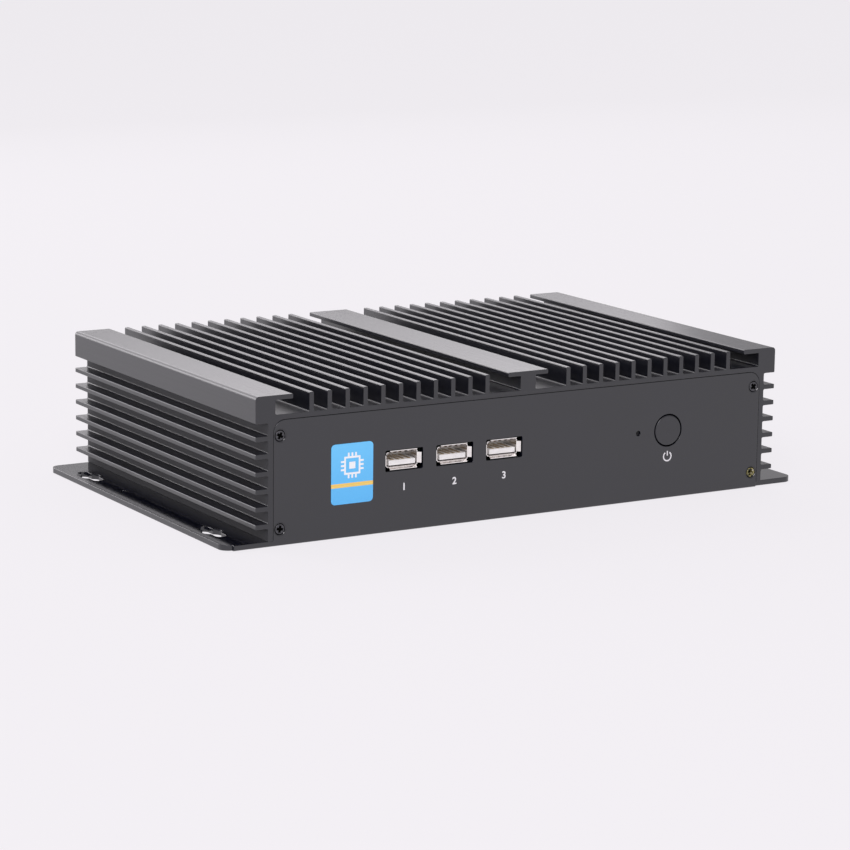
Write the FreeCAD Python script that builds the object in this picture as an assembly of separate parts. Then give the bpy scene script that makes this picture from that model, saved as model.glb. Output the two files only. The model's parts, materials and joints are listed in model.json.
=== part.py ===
import FreeCAD, Part
import math
import os

# Fanless industrial PC. Millimetres. X runs across the front, Y runs from the front to the back, Z is up.
# The origin is in the middle of the footprint, on the underside of the base sheet.
# A finned aluminium extrusion in the shape of an upside-down U stands on a folded steel tray, and a
# front board, a main board and their sockets sit inside. The extrusion is the cooler: a block of
# aluminium carries the heat of the processor up to it.

Vector = FreeCAD.Vector
same_point = 1e-6

# --- whole case ------------------------------------------------------------------------------------
body_width = 228.0            # over the tips of the side fins
body_depth = 154.0            # length that the extrusion is cut to
body_height = 55.0
flange_reach = 12.0           # how far each mounting flange stands out past the fin tips
socket_reach = 6.0            # how far the D-shaped sockets stand out behind the case
sheet = 2.0                   # folded steel sheet of the tray and the rear panel
label_thickness = 0.2

# --- finned extrusion ------------------------------------------------------------------------------
side_fin_length = 5.07
side_fin_thickness = 1.75
side_fin_pitch = 6.39
wall_thickness = 2.0
top_fin_height = 7.06
top_fin_thickness = 1.75
top_fin_pitch = 7.37
first_fin_offset = 17.8       # middle plane to the first top fin
last_fin_gap = 2.0            # least room between the last top fin and the rail's lip
top_wall_thickness = 1.85
block_height = 9.9            # solid rail along each upper edge
block_width = 7.9
block_lip_reach = 15.0        # the rail's overhanging lip, from the outer face
block_lip_thickness = 1.7
block_edge_radius = 1.3
rib_width = 17.4              # flat T-shaped rib down the middle
rib_plate_thickness = 1.65
rib_stem_width = 6.56
fin_root_radius = 0.6
fin_tip_radius = 0.3
inner_corner_radius = 4.7
port_radius = 3.1             # C-shaped screw channels along the inside of the walls
port_bore_radius = 1.25
port_slit = 1.4
port_bite = 0.3               # how far a channel runs into the wall
port_floor_gap = 1.0          # under the lower channels
port_ceiling_gap = 2.8        # over the upper channels

# --- tray and panels -------------------------------------------------------------------------------
panel_gap = 0.2               # between a panel and the extrusion round it
fold_radius = 0.6             # outside of the fold
flange_setback = 1.6          # front edge of a flange behind the front face
fold_remainder = 8.5          # strip of sheet left of the fold that stays flush with the front
flange_corner_radius = 4.0
tray_back_setback = 1.0
slot_outset = 5.5             # keyhole slots from the fin tips
slot_spacing = 105.0
slot_front_inset = 23.5       # front slots from the front face
slot_length = 17.8
slot_width = 4.2
slot_hole_radius = 4.0
pilot_hole_radius = 1.15      # small hole beside the rear left slot
pilot_hole_inset = 98.7
rear_lip_depth = 9.0
rear_lip_screw_spread = 150.0
lip_end_gap = 2.0             # between the lip and the lower screw channels

# --- small screws ----------------------------------------------------------------------------------
screw_radius = 1.2
screw_hole_radius = 1.4
head_radius = 2.2
head_clearance = 0.1
head_sink = 0.05              # countersunk heads lie this far under the face
screw_length = 8.0
recess_width = 0.55           # cross recess
recess_reach = 1.25
recess_depth = 0.9
pan_head_radius = 2.4
pan_head_height = 1.5
thread_clearance = 0.05
insert_gap = 0.05             # moulded pieces in their shells, modules in their slots

# --- controls and sockets on the front -------------------------------------------------------------
control_height = 26.6         # common centre line
first_port_inset = 61.0       # first socket from the left fin tips
port_pitch = 21.5
button_inset = 178.0          # button's axis from the left fin tips
led_offset = 13.8             # lamp hole, left of the button
label_gap = 5.2               # between the label and the first socket's window
label_centre_height = 23.7
label_width = 17.3
label_height = 22.3
label_corner_radius = 1.6

usb_names = ("left", "middle", "right")
usb_width = 13.1              # plated shell
usb_height = 5.7
usb_wall = 0.3
usb_depth = 13.5
usb_recess = 0.5              # lips behind the front face
usb_lip_rise = 0.75           # flare of the long lips
usb_side_lip_rise = 1.05
usb_lip_depth = 1.2
usb_lip_corner = 0.85         # open corner at each end of a lip
usb_cutout_gap = 0.35
usb_cutout_corner = 0.6
tongue_width = 11.1
tongue_thickness = 1.84
tongue_recess = 1.1           # tongue's front behind the lips
tongue_edge_gap = 0.45        # between the tongue and the nearer wall of the shell
insulator_depth = 4.0         # moulded block that closes the back of the shell
contact_width = 1.0
contact_thickness = 0.2
contact_offsets = (-3.5, -1.0, 1.0, 3.5)
contact_recess = 0.9

button_radius = 6.1
button_gap = 0.3
button_edge_radius = 0.35
button_sink = 0.1
collar_width = 1.15           # collar past the button's rim
collar_thickness = 1.2
collar_gap = 0.3
button_stem_radius = 2.5
button_travel = 1.2
guide_wall = 1.2
guide_gap = 0.25
switch_width = 8.4
switch_height = 4.4
actuator_radius = 1.75
actuator_gap = 0.1
switch_floor = 0.3
spring_wire = 0.5             # square wire
spring_radius = 3.6
spring_turns = 4
spring_end_gap = 0.1

led_hole_radius = 1.05
guide_rod_radius = 0.9
guide_rod_sink = 0.6
guide_foot_radius = 1.8
led_width = 1.6
led_depth = 0.8
led_pocket_radius = 1.1
led_pocket_depth = 1.2

# --- front board -----------------------------------------------------------------------------------
board_thickness = 1.6
front_board_below = 16.0      # from the centre line of the controls
front_board_above = 10.8
front_board_margin = 15.0     # past the outer socket and past the button
stud_radius = 2.6
stud_bore_radius = 1.25
stud_inset = 4.0
board_screw_length = 5.0
link_pins = 10                # pin pairs of the plug between the two boards
link_pitch = 2.0
link_pin_width = 0.5
link_hole_width = 0.8
link_height = 4.4
link_end_wall = 1.0
link_socket_depth = 8.5
link_header_depth = 2.5
link_gap = 0.2
link_offset = -20.0

# --- main board ------------------------------------------------------------------------------------
standoff_height = 10.0
standoff_width = 5.5          # across the flats
board_side_margin = 7.0       # board past the outer rear sockets
board_back_gap = 1.0
standoff_inset = 5.0
standoff_front_inset = 6.0
standoff_rear_inset = 28.7

cpu_size = 40.0
cpu_substrate = 1.2
die_width = 14.0
die_depth = 11.0
die_height = 0.8
cpu_pad_thickness = 0.5
heat_block_width = 66.0
heat_block_depth = 50.0
case_pad_thickness = 1.0
block_screw_inset = 5.0
block_gap = 3.0               # between the drive and the block behind it
block_screw_bite = 8.0
block_edge_chamfer = 1.0

memory_socket_width = 7.0
memory_socket_length = 73.0
memory_socket_height = 5.2
memory_module_width = 30.0
memory_module_length = 67.6
memory_module_thickness = 1.2
memory_slot_bite = 4.0
memory_chip_width = 11.0
memory_chip_length = 7.5
memory_chip_height = 1.0
memory_chip_pitch = 13.0
memory_chip_count = 4
memory_gap = 5.0              # between the heat block and the memory socket
memory_shift = 10.0           # module's middle in front of the processor's

ssd_width = 22.0
ssd_length = 80.0
ssd_thickness = 0.8
ssd_lift = 2.4
ssd_side_inset = 2.0          # drive's socket from the board's left edge
ssd_row = 21.0                # drive's centre line from the board's front edge
ssd_socket_depth = 8.7
ssd_socket_height = 4.2
ssd_socket_bite = 3.0
ssd_chip_height = 1.4
ssd_chip_count = 3
ssd_chip_share = 2.0 / 3.0    # chip size against the room that it has
ssd_post_radius = 2.6
ssd_notch_radius = 1.8
ssd_screw_head_radius = 2.6
ssd_screw_head_height = 0.7

coin_radius = 10.0
coin_thickness = 3.2
coin_holder_wall = 1.2
coin_holder_height = 4.2
coin_floor = 0.8
coin_clearance = 0.15
coin_offset = 22.0
coin_row = 16.0

inductor_width = 7.0
inductor_height = 4.0
inductor_corner = 1.2
inductor_pitch = 10.0
inductor_count = 5
inductor_gap = 4.0            # between the coils and the block
capacitor_radius = 3.15
capacitor_height = 5.8
capacitor_base = 0.8
capacitor_gap = 2.0           # between the cans and the coils
capacitor_pitch = 9.0
capacitor_count = 4
chip_height = 1.2
# controller chips: side, inset from that side edge, row from the board's front edge, width
controller_sites = (
    (-1, 19.0, 45.0, 10.0),
    (-1, 19.0, 66.0, 10.0),
    (1, 11.0, 72.0, 14.0),
    (1, 11.0, 30.0, 7.0),
)

# --- sockets on the rear ---------------------------------------------------------------------------
cutout_gap = 0.3
cutout_corner_radius = 0.5
socket_proud = 0.6            # flat-faced sockets past the rear face
connector_gap = 2.0           # between neighbours
shell_wall = 0.4
power_width = 9.0
power_height = 11.0
power_depth = 14.4
power_bore_radius = 3.2
power_bore_depth = 10.0
power_pin_radius = 1.0
power_pin_gap = 0.6           # pin's end behind the mouth
dsub_height = 12.5
dsub_body_depth = 9.0
dsub_flange = 0.8
dsub_shell_width = 16.9
dsub_shell_height = 8.3
dsub_slope = math.radians(10.0)
dsub_corner_radius = 2.0
dsub_post_outset = 4.05       # post axis from the shell's upper corner
dsub_ear = 2.9                # flange past the post axis
dsub_post_radius = 2.5
dsub_post_length = 5.0
dsub_post_shank_radius = 1.4
dsub_post_bore_radius = 1.15
dsub_post_bore_depth = 4.0
dsub_post_hole_radius = 1.7
pin_radius = 0.5
com_pin_pitch = 2.77
com_row_pitch = 2.84
com_pin_recess = 0.8
com_cup_floor = 0.6
vga_pin_pitch = 2.29
vga_row_pitch = 1.98
vga_face_recess = 0.4
vga_hole_depth = 3.0
hdmi_width = 15.0
hdmi_height = 5.7
hdmi_depth = 11.0
hdmi_chamfer = 1.6
hdmi_tongue_thickness = 1.0
hdmi_tongue_width = 11.6
stack_width = 13.6
stack_height = 15.6
stack_depth = 17.5
stack_port_width = 12.5
stack_port_height = 5.2
stack_port_pitch = 7.6
stack_port_depth = 12.5
lan_width = 16.0
lan_height = 13.5
lan_depth = 21.0
lan_wall = 0.3
lan_cavity_width = 11.9
lan_cavity_height = 7.9
lan_cavity_depth = 13.5
lan_cavity_low = 3.4
lan_latch_width = 6.0
lan_latch_height = 1.8
audio_width = 6.6
audio_depth = 12.0
audio_barrel_radius = 3.0
audio_barrel_reach = 2.2
audio_bore_radius = 1.8
audio_bore_depth = 11.0
plug_radius = 3.2             # blanking plugs of the two aerial holes
plug_head_radius = 4.6
plug_head_height = 1.4
plug_length = 5.0
plug_drop = 8.9               # plug axis below the rear panel's upper edge
plug_spread = 150.0

# --- places that follow from the sizes above -------------------------------------------------------
half_width = body_width / 2.0
front = -(body_depth + socket_reach + label_thickness) / 2.0 + label_thickness
back = front + body_depth
wall_outer = half_width - side_fin_length
wall_inner = wall_outer - wall_thickness
top_floor = body_height - top_fin_height
ceiling = top_floor - top_wall_thickness
block_bottom = body_height - block_height
side_fin_gap = side_fin_pitch - side_fin_thickness
side_fin_count = int((block_bottom - sheet) / side_fin_pitch)
fin_room = half_width - block_lip_reach - last_fin_gap - first_fin_offset
top_fin_count = int(fin_room / top_fin_pitch) + 1      # on each side of the middle rib
panel_half_width = wall_inner - panel_gap
panel_top = ceiling - panel_gap
port_x = wall_inner - port_radius + port_bite
port_low = sheet + port_floor_gap + port_radius
port_high = ceiling - port_ceiling_gap - port_radius
port_places = [(side * port_x, z) for side in (-1, 1) for z in (port_low, port_high)]

usb_centres = [first_port_inset - half_width + i * port_pitch for i in range(len(usb_names))]
usb_window_width = usb_width + 2 * (usb_side_lip_rise + usb_cutout_gap)
usb_window_height = usb_height + 2 * (usb_lip_rise + usb_cutout_gap)
label_x = usb_centres[0] - usb_window_width / 2.0 - label_gap - label_width / 2.0
button_x = button_inset - half_width
led_x = button_x - led_offset
collar_radius = button_radius + collar_width
actuator_inside = switch_height - button_travel - actuator_gap - switch_floor

lip_front = front + usb_recess
front_board_face = lip_front + usb_depth
front_board_back = front_board_face + board_thickness
front_board_left = usb_centres[0] - front_board_margin
front_board_right = button_x + front_board_margin
front_board_low = control_height - front_board_below
front_board_high = control_height + front_board_above
link_socket_end = front_board_back + link_socket_depth
board_front = link_socket_end + link_gap
board_rear = back - sheet - board_back_gap
board_under = sheet + standoff_height
board_top = board_under + board_thickness
link_level = board_top + link_height / 2.0
cpu_row = ssd_row + ssd_width / 2.0 + block_gap + heat_block_depth / 2.0
memory_offset = heat_block_width / 2.0 + memory_gap
memory_row = cpu_row - memory_shift
inductor_x = -(heat_block_width / 2.0 + inductor_gap + inductor_width / 2.0)
capacitor_x = inductor_x - inductor_width / 2.0 - capacitor_gap - capacitor_radius

dsub_post_spacing = dsub_shell_width + 2 * dsub_post_outset
dsub_width = dsub_post_spacing + 2 * dsub_ear
# rear sockets from left to right, as seen from the front
rear_order = (
    ("mic", audio_width),
    ("line", audio_width),
    ("lan_left", lan_width),
    ("lan_right", lan_width),
    ("stack_left", stack_width),
    ("stack_right", stack_width),
    ("hdmi", hdmi_width),
    ("vga", dsub_width),
    ("com", dsub_width),
    ("power", power_width),
)
rear_row_width = sum(width for name, width in rear_order) + connector_gap * (len(rear_order) - 1)
main_board_width = rear_row_width + 2 * board_side_margin
plug_height = panel_top - plug_drop

collar_front = front + sheet + collar_gap
collar_back = collar_front + collar_thickness
switch_face = front_board_face - switch_height
stem_end = switch_face - button_travel - actuator_gap


# --- helpers ---------------------------------------------------------------------------------------
def box(x0, x1, y0, y1, z0, z1):
    """A box between two corners."""
    return Part.makeBox(x1 - x0, y1 - y0, z1 - z0, Vector(x0, y0, z0))


def slab(x, z, width, height, y0, y1):
    """A box centred on (x, z) that runs from y0 to y1."""
    return box(x - width / 2.0, x + width / 2.0, y0, y1, z - height / 2.0, z + height / 2.0)


def chip(x, y, width, depth, z0, z1):
    """A box centred on (x, y) that stands from z0 to z1."""
    return box(x - width / 2.0, x + width / 2.0, y - depth / 2.0, y + depth / 2.0, z0, z1)


def rod_y(x, z, radius, y0, y1):
    return Part.makeCylinder(radius, y1 - y0, Vector(x, y0, z), Vector(0, 1, 0))


def rod_z(x, y, radius, z0, z1):
    return Part.makeCylinder(radius, z1 - z0, Vector(x, y, z0), Vector(0, 0, 1))


def rounded_wire(corners, place):
    """A closed wire through corners (u, v, radius); place(u, v) puts a point in space."""
    points = [Vector(u, v, 0) for u, v, radius in corners]
    count = len(points)
    tangents = []
    for i, (u, v, radius) in enumerate(corners):
        here = points[i]
        back_way = (points[i - 1] - here).normalize()
        forward_way = (points[(i + 1) % count] - here).normalize()
        if radius == 0:
            tangents.append((here, None, here))
            continue
        half_angle = back_way.getAngle(forward_way) / 2.0
        reach = radius / math.tan(half_angle)
        middle_way = (back_way + forward_way).normalize()
        crown = here + middle_way * (radius / math.sin(half_angle) - radius)
        tangents.append((here + back_way * reach, crown, here + forward_way * reach))
    edges = []
    for i in range(count):
        start, crown, end = [place(point.x, point.y) if point else None for point in tangents[i]]
        if crown:
            edges.append(Part.Arc(start, crown, end).toShape())
        corner_ahead = tangents[(i + 1) % count][0]
        following = place(corner_ahead.x, corner_ahead.y)
        if not end.isEqual(following, same_point):
            edges.append(Part.makeLine(end, following))
    return Part.Wire(edges)


def profile_y(corners, y0, y1):
    """A solid whose section (x, z, radius) is the same from y0 to y1."""
    wire = rounded_wire(corners, lambda u, v: Vector(u, y0, v))
    return Part.Face(wire).extrude(Vector(0, y1 - y0, 0))


def profile_x(corners, x0, x1):
    """A solid whose section (y, z, radius) is the same from x0 to x1."""
    wire = rounded_wire(corners, lambda u, v: Vector(x0, u, v))
    return Part.Face(wire).extrude(Vector(x1 - x0, 0, 0))


def plate_z(corners, z0, z1):
    """A flat plate with the outline (x, y, radius), from z0 to z1."""
    wire = rounded_wire(corners, lambda u, v: Vector(u, v, z0))
    return Part.Face(wire).extrude(Vector(0, 0, z1 - z0))


def rectangle(u, v, width, height, radius):
    """Corners of a rounded rectangle centred on (u, v)."""
    return [
        (u + side_u * width / 2.0, v + side_v * height / 2.0, radius)
        for side_u, side_v in ((-1, -1), (1, -1), (1, 1), (-1, 1))
    ]


def window(x, z, width, height, radius, y0, y1):
    """A rounded block used to cut a window through a panel."""
    return profile_y(rectangle(x, z, width, height, radius), y0, y1)


def hexagon_z(x, y, across_flats, z0, z1):
    radius = across_flats / math.sqrt(3.0)
    corners = [
        (x + radius * math.cos(math.radians(60 * i)), y + radius * math.sin(math.radians(60 * i)), 0)
        for i in range(6)
    ]
    return plate_z(corners, z0, z1)


def turned_y(x, z, steps):
    """A body turned about an axis along Y; steps are (place along Y, radius) from end to end."""
    if steps[0][0] > steps[-1][0]:
        steps = steps[::-1]
    points = [Vector(x, steps[0][0], z)]
    points += [Vector(x + radius, y, z) for y, radius in steps]
    points += [Vector(x, steps[-1][0], z), points[0]]
    return Part.Face(Part.makePolygon(points)).revolve(Vector(x, 0, z), Vector(0, 1, 0), 360)


def mirrored(corners):
    """The same outline on the left side, in the order that closes the section."""
    return [(-x, z, radius) for x, z, radius in reversed(corners)]


def group(shapes):
    return Part.makeCompound(shapes)


# --- heatsink housing ------------------------------------------------------------------------------
def half_section():
    """Right half of the extrusion's section, from the top of the middle rib round to the ceiling."""
    root, tip = fin_root_radius, fin_tip_radius
    rib_underside = body_height - rib_plate_thickness
    corners = [
        (rib_width / 2.0, body_height, tip),
        (rib_width / 2.0, rib_underside, tip),
        (rib_stem_width / 2.0, rib_underside, tip),
        (rib_stem_width / 2.0, top_floor, root),
    ]
    for i in range(top_fin_count):
        near = first_fin_offset + i * top_fin_pitch - top_fin_thickness / 2.0
        far = near + top_fin_thickness
        corners += [(near, top_floor, root), (near, body_height, tip)]
        corners += [(far, body_height, tip), (far, top_floor, root)]
    block_inside = half_width - block_width
    lip_end = half_width - block_lip_reach
    lip_underside = body_height - block_lip_thickness
    corners += [
        (block_inside, top_floor, root),
        (block_inside, lip_underside, tip),
        (lip_end, lip_underside, tip),
        (lip_end, body_height, tip),
        (half_width, body_height, block_edge_radius),
        (half_width, block_bottom, tip),
        (wall_outer, block_bottom, root),
    ]
    for i in range(side_fin_count):
        upper = block_bottom - side_fin_gap - i * side_fin_pitch
        lower = upper - side_fin_thickness
        corners += [(wall_outer, upper, root), (half_width, upper, tip)]
        corners += [(half_width, lower, tip), (wall_outer, lower, root)]
    corners += [
        (wall_outer, sheet, 0),
        (wall_inner, sheet, 0),
        (wall_inner, ceiling, inner_corner_radius),
    ]
    return corners


def heatsink_housing():
    right = half_section()
    housing = profile_y(right + mirrored(right), front, back)
    ports = []
    bores = []
    port_start = front + sheet + panel_gap
    port_end = back - sheet - panel_gap
    for x, z in port_places:
        ports.append(rod_y(x, z, port_radius, port_start, port_end))
        bores.append(rod_y(x, z, port_bore_radius, port_start, port_end))
        inward = x - math.copysign(port_radius, x)
        bores.append(box(min(x, inward), max(x, inward), port_start, port_end,
                         z - port_slit / 2.0, z + port_slit / 2.0))
    overhang = box(wall_outer, half_width, front, back, 0, body_height)
    overhang_left = box(-half_width, -wall_outer, front, back, 0, body_height)
    channels = group(ports).cut(group([overhang, overhang_left]))
    return housing.fuse(channels.Solids).cut(group(bores)).removeSplitter()


# --- tray ------------------------------------------------------------------------------------------
def panel_face(y0, y1, z0):
    """Panel that fills the mouth of the extrusion, with its two upper corners rounded."""
    upper_radius = inner_corner_radius - panel_gap
    corners = [
        (-panel_half_width, z0, 0),
        (panel_half_width, z0, 0),
        (panel_half_width, panel_top, upper_radius),
        (-panel_half_width, panel_top, upper_radius),
    ]
    return profile_y(corners, y0, y1)


def keyhole(x, y):
    """Slot along Y with a larger round hole in its middle."""
    slot = plate_z(rectangle(x, y, slot_width, slot_length, slot_width / 2.0), 0, sheet)
    return slot.fuse(rod_z(x, y, slot_hole_radius, 0, sheet))


def keyhole_places():
    first = front + slot_front_inset
    return [
        (side * (half_width + slot_outset), y)
        for side in (-1, 1) for y in (first, first + slot_spacing)
    ]


def countersink(x, z, face, inward):
    """Clearance hole and countersink for a panel screw; inward is +1 or -1 along Y."""
    reach = head_radius + head_clearance
    deep = reach - screw_hole_radius
    steps = [
        (face, reach),
        (face + inward * (head_sink + deep), screw_hole_radius),
        (face + inward * (sheet + panel_gap), screw_hole_radius),
    ]
    return turned_y(x, z, steps)


def base_tray():
    tray_half = half_width + flange_reach
    flange_front = front + flange_setback
    tray_back = back - tray_back_setback
    strip_end = -half_width - fold_remainder
    outline = [
        (-tray_half, tray_back, flange_corner_radius),
        (-tray_half, flange_front, flange_corner_radius),
        (strip_end, flange_front, 0),
        (strip_end, front, 0),
        (panel_half_width, front, 0),
        (panel_half_width, flange_front, 0),
        (tray_half, flange_front, flange_corner_radius),
        (tray_half, tray_back, flange_corner_radius),
    ]
    tray = plate_z(outline, 0, sheet)
    tray = tray.fuse(panel_face(front, front + sheet, 0)).removeSplitter()
    fold = [edge for edge in tray.Edges if is_fold(edge)]
    tray = tray.makeFillet(fold_radius, fold)
    cuts = [keyhole(x, y) for x, y in keyhole_places()]
    cuts.append(rod_z(-half_width - slot_outset, front + pilot_hole_inset, pilot_hole_radius, 0, sheet))
    cuts += [countersink(x, z, front, 1) for x, z in port_places]
    through = front + sheet + panel_gap
    for x in usb_centres:
        cuts.append(window(x, control_height, usb_window_width, usb_window_height, usb_cutout_corner,
                           front, through))
    cuts.append(rod_y(button_x, control_height, button_radius + button_gap, front, through))
    cuts.append(rod_y(led_x, control_height, led_hole_radius, front, through))
    for x in lip_screw_places():
        cuts.append(lip_countersink(x))
    return tray.cut(group(cuts))


def is_fold(edge):
    """True for the lower front edge of the front panel."""
    centre = edge.CenterOfMass
    on_edge = abs(centre.y - front) < same_point and abs(centre.z) < same_point
    return on_edge and edge.Length > panel_half_width


# --- rear panel ------------------------------------------------------------------------------------
def lip_screw_places():
    return [-rear_lip_screw_spread / 2.0, 0.0, rear_lip_screw_spread / 2.0]


def lip_screw_y():
    return back - sheet - rear_lip_depth / 2.0


def lip_countersink(x):
    """Countersunk hole through the base for a screw into the rear panel's lip."""
    reach = head_radius + head_clearance
    deep = reach - screw_hole_radius
    cone = Part.makeCone(reach, screw_hole_radius, head_sink + deep, Vector(x, lip_screw_y(), 0))
    return cone.fuse(rod_z(x, lip_screw_y(), screw_hole_radius, 0, sheet))


def rear_panel(cutouts):
    """Rear plate with a lip folded forward over the base; cutouts are the windows for the sockets."""
    plate = panel_face(back - sheet, back, sheet)
    lip_half = port_x - port_radius - lip_end_gap
    lip = box(-lip_half, lip_half, back - sheet - rear_lip_depth, back - sheet, sheet, 2 * sheet)
    panel = plate.fuse(lip).removeSplitter()
    cuts = [countersink(x, z, back, -1) for x, z in port_places]
    cuts += [rod_z(x, lip_screw_y(), port_bore_radius, sheet, 2 * sheet) for x in lip_screw_places()]
    return panel.cut(group(cuts + cutouts))


# --- small screws ----------------------------------------------------------------------------------
def cross_recess(top, inward, along):
    """Two crossed slots sunk into a screw head; along(u, v, depth range) builds each box."""
    slots = []
    for half_u, half_v in ((recess_reach, recess_width / 2.0), (recess_width / 2.0, recess_reach)):
        slots.append(along(half_u, half_v, sorted((top, top + inward * recess_depth))))
    return group(slots)


def panel_screw(x, z, face, inward):
    """Countersunk screw through a panel into a channel of the extrusion."""
    top = face + inward * head_sink
    steps = [
        (top, head_radius),
        (top + inward * (head_radius - screw_radius), screw_radius),
        (face + inward * screw_length, screw_radius),
    ]
    recess = cross_recess(top, inward, lambda u, v, y: box(x - u, x + u, y[0], y[1], z - v, z + v))
    return turned_y(x, z, steps).cut(recess)


def lip_screw(x):
    """Countersunk screw from under the base into the rear panel's lip."""
    y = lip_screw_y()
    cone_height = head_radius - screw_radius
    head = Part.makeCone(head_radius, screw_radius, cone_height, Vector(x, y, head_sink))
    screw = head.fuse(rod_z(x, y, screw_radius, head_sink + cone_height, 2 * sheet)).removeSplitter()
    recess = cross_recess(head_sink, 1, lambda u, v, z: box(x - u, x + u, y - v, y + v, z[0], z[1]))
    return screw.cut(recess)


def pan_screw_z(x, y, seat, upward, length):
    """Pan-head screw on a board; seat is the face under its head, and its shank runs away from it."""
    head_low, head_high = sorted((seat, seat + upward * pan_head_height))
    shank_low, shank_high = sorted((seat, seat - upward * length))
    head = rod_z(x, y, pan_head_radius, head_low, head_high)
    screw = head.fuse(rod_z(x, y, screw_radius, shank_low, shank_high)).removeSplitter()
    top = seat + upward * pan_head_height
    recess = cross_recess(top, -upward, lambda u, v, z: box(x - u, x + u, y - v, y + v, z[0], z[1]))
    return screw.cut(recess)


# --- front sockets ---------------------------------------------------------------------------------
def usb_shell(x):
    """Plated tube of a front socket, with four lips flared outward round its mouth."""
    z = control_height
    mouth = lip_front + usb_lip_depth
    half_w, half_h = usb_width / 2.0, usb_height / 2.0
    outer = window(x, z, usb_width, usb_height, 2 * usb_wall, mouth, front_board_face)
    inner = window(x, z, usb_width - 2 * usb_wall, usb_height - 2 * usb_wall, usb_wall,
                   mouth, front_board_face)
    shell = outer.cut(inner)
    lips = []
    for side in (-1, 1):
        wall = z + side * (half_h - usb_wall), z + side * half_h
        rise = side * usb_lip_rise
        lips.append(profile_x(
            [(mouth, wall[0], 0), (mouth, wall[1], 0), (lip_front, wall[1] + rise, 0),
             (lip_front, wall[0] + rise, 0)],
            x - half_w + usb_lip_corner, x + half_w - usb_lip_corner))
        wall = x + side * (half_w - usb_wall), x + side * half_w
        rise = side * usb_side_lip_rise
        lips.append(plate_z(
            [(wall[0], mouth, 0), (wall[1], mouth, 0), (wall[1] + rise, lip_front, 0),
             (wall[0] + rise, lip_front, 0)],
            z - half_h + usb_lip_corner, z + half_h - usb_lip_corner))
    return shell.fuse(lips).removeSplitter()


def tongue_levels():
    """Lower and upper face of the tongues in the front sockets."""
    low = control_height - usb_height / 2.0 + usb_wall + tongue_edge_gap
    return low, low + tongue_thickness


def usb_tongue(x):
    """White moulding that closes the back of a front socket and carries its contacts."""
    width = usb_width - 2 * (usb_wall + insert_gap)
    height = usb_height - 2 * (usb_wall + insert_gap)
    block_front = front_board_face - insulator_depth
    block = window(x, control_height, width, height, usb_wall, block_front, front_board_face)
    low, high = tongue_levels()
    half = tongue_width / 2.0
    tongue = box(x - half, x + half, lip_front + tongue_recess, block_front, low, high)
    return block.fuse(tongue).removeSplitter()


def usb_contacts():
    """Four flat contacts on the tongue of each front socket."""
    start = lip_front + tongue_recess + contact_recess
    end = front_board_face - insulator_depth
    high = tongue_levels()[1]
    half = contact_width / 2.0
    return group([
        box(x + offset - half, x + offset + half, start, end, high, high + contact_thickness)
        for x in usb_centres for offset in contact_offsets
    ])


# --- power button ----------------------------------------------------------------------------------
def power_button_cap():
    """Flush cap with a collar that stops behind the panel and a stem that works the switch."""
    face = front + button_sink
    steps = [
        (face, button_radius - button_edge_radius),
        (face + button_edge_radius, button_radius),
        (collar_front, button_radius),
        (collar_front, collar_radius),
        (collar_back, collar_radius),
        (collar_back, button_stem_radius),
        (stem_end, button_stem_radius),
    ]
    return turned_y(button_x, control_height, steps)


def button_guide():
    """Sleeve between the panel and the front board, in which the collar slides."""
    bore = collar_radius + guide_gap
    start = front + sheet
    sleeve = rod_y(button_x, control_height, bore + guide_wall, start, front_board_face)
    return sleeve.cut(rod_y(button_x, control_height, bore, start, front_board_face))


def switch_body():
    body = slab(button_x, control_height, switch_width, switch_width, switch_face, front_board_face)
    bore_end = switch_face + actuator_inside + button_travel + actuator_gap
    return body.cut(rod_y(button_x, control_height, actuator_radius + actuator_gap, switch_face, bore_end))


def switch_actuator():
    return rod_y(button_x, control_height, actuator_radius, stem_end, switch_face + actuator_inside)


def return_spring():
    """Coil spring of square wire between the collar and the switch."""
    start = collar_back + spring_end_gap
    length = switch_face - spring_end_gap - start - spring_wire
    coil = Part.makeHelix(length / spring_turns, length, spring_radius)
    inner, outer = spring_radius - spring_wire / 2.0, spring_radius + spring_wire / 2.0
    square = [
        Vector(inner, 0, 0),
        Vector(outer, 0, 0),
        Vector(outer, 0, spring_wire),
        Vector(inner, 0, spring_wire),
        Vector(inner, 0, 0),
    ]
    spring = Part.Wire(coil.Edges).makePipeShell([Part.makePolygon(square)], True, True)
    spring.rotate(Vector(0, 0, 0), Vector(1, 0, 0), -90)
    spring.translate(Vector(button_x, start, control_height))
    return spring


def led_light_guide():
    """Clear rod in the small hole beside the button, standing over the status lamp."""
    shoulder = front + sheet + panel_gap
    steps = [
        (front + guide_rod_sink, guide_rod_radius),
        (shoulder, guide_rod_radius),
        (shoulder, guide_foot_radius),
        (front_board_face, guide_foot_radius),
    ]
    pocket = rod_y(led_x, control_height, led_pocket_radius,
                   front_board_face - led_pocket_depth, front_board_face)
    return turned_y(led_x, control_height, steps).cut(pocket)


def status_led():
    return slab(led_x, control_height, led_width, led_depth, front_board_face - led_depth, front_board_face)


def label_sticker():
    outline = rectangle(label_x, label_centre_height, label_width, label_height, label_corner_radius)
    return profile_y(outline, front - label_thickness, front)


# --- front board -----------------------------------------------------------------------------------
def stud_places():
    return [
        (x, z)
        for x in (front_board_left + stud_inset, front_board_right - stud_inset)
        for z in (front_board_low + stud_inset, front_board_high - stud_inset)
    ]


def front_board():
    board = box(front_board_left, front_board_right, front_board_face, front_board_back,
                front_board_low, front_board_high)
    holes = [rod_y(x, z, screw_hole_radius, front_board_face, front_board_back) for x, z in stud_places()]
    return board.cut(group(holes))


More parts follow.
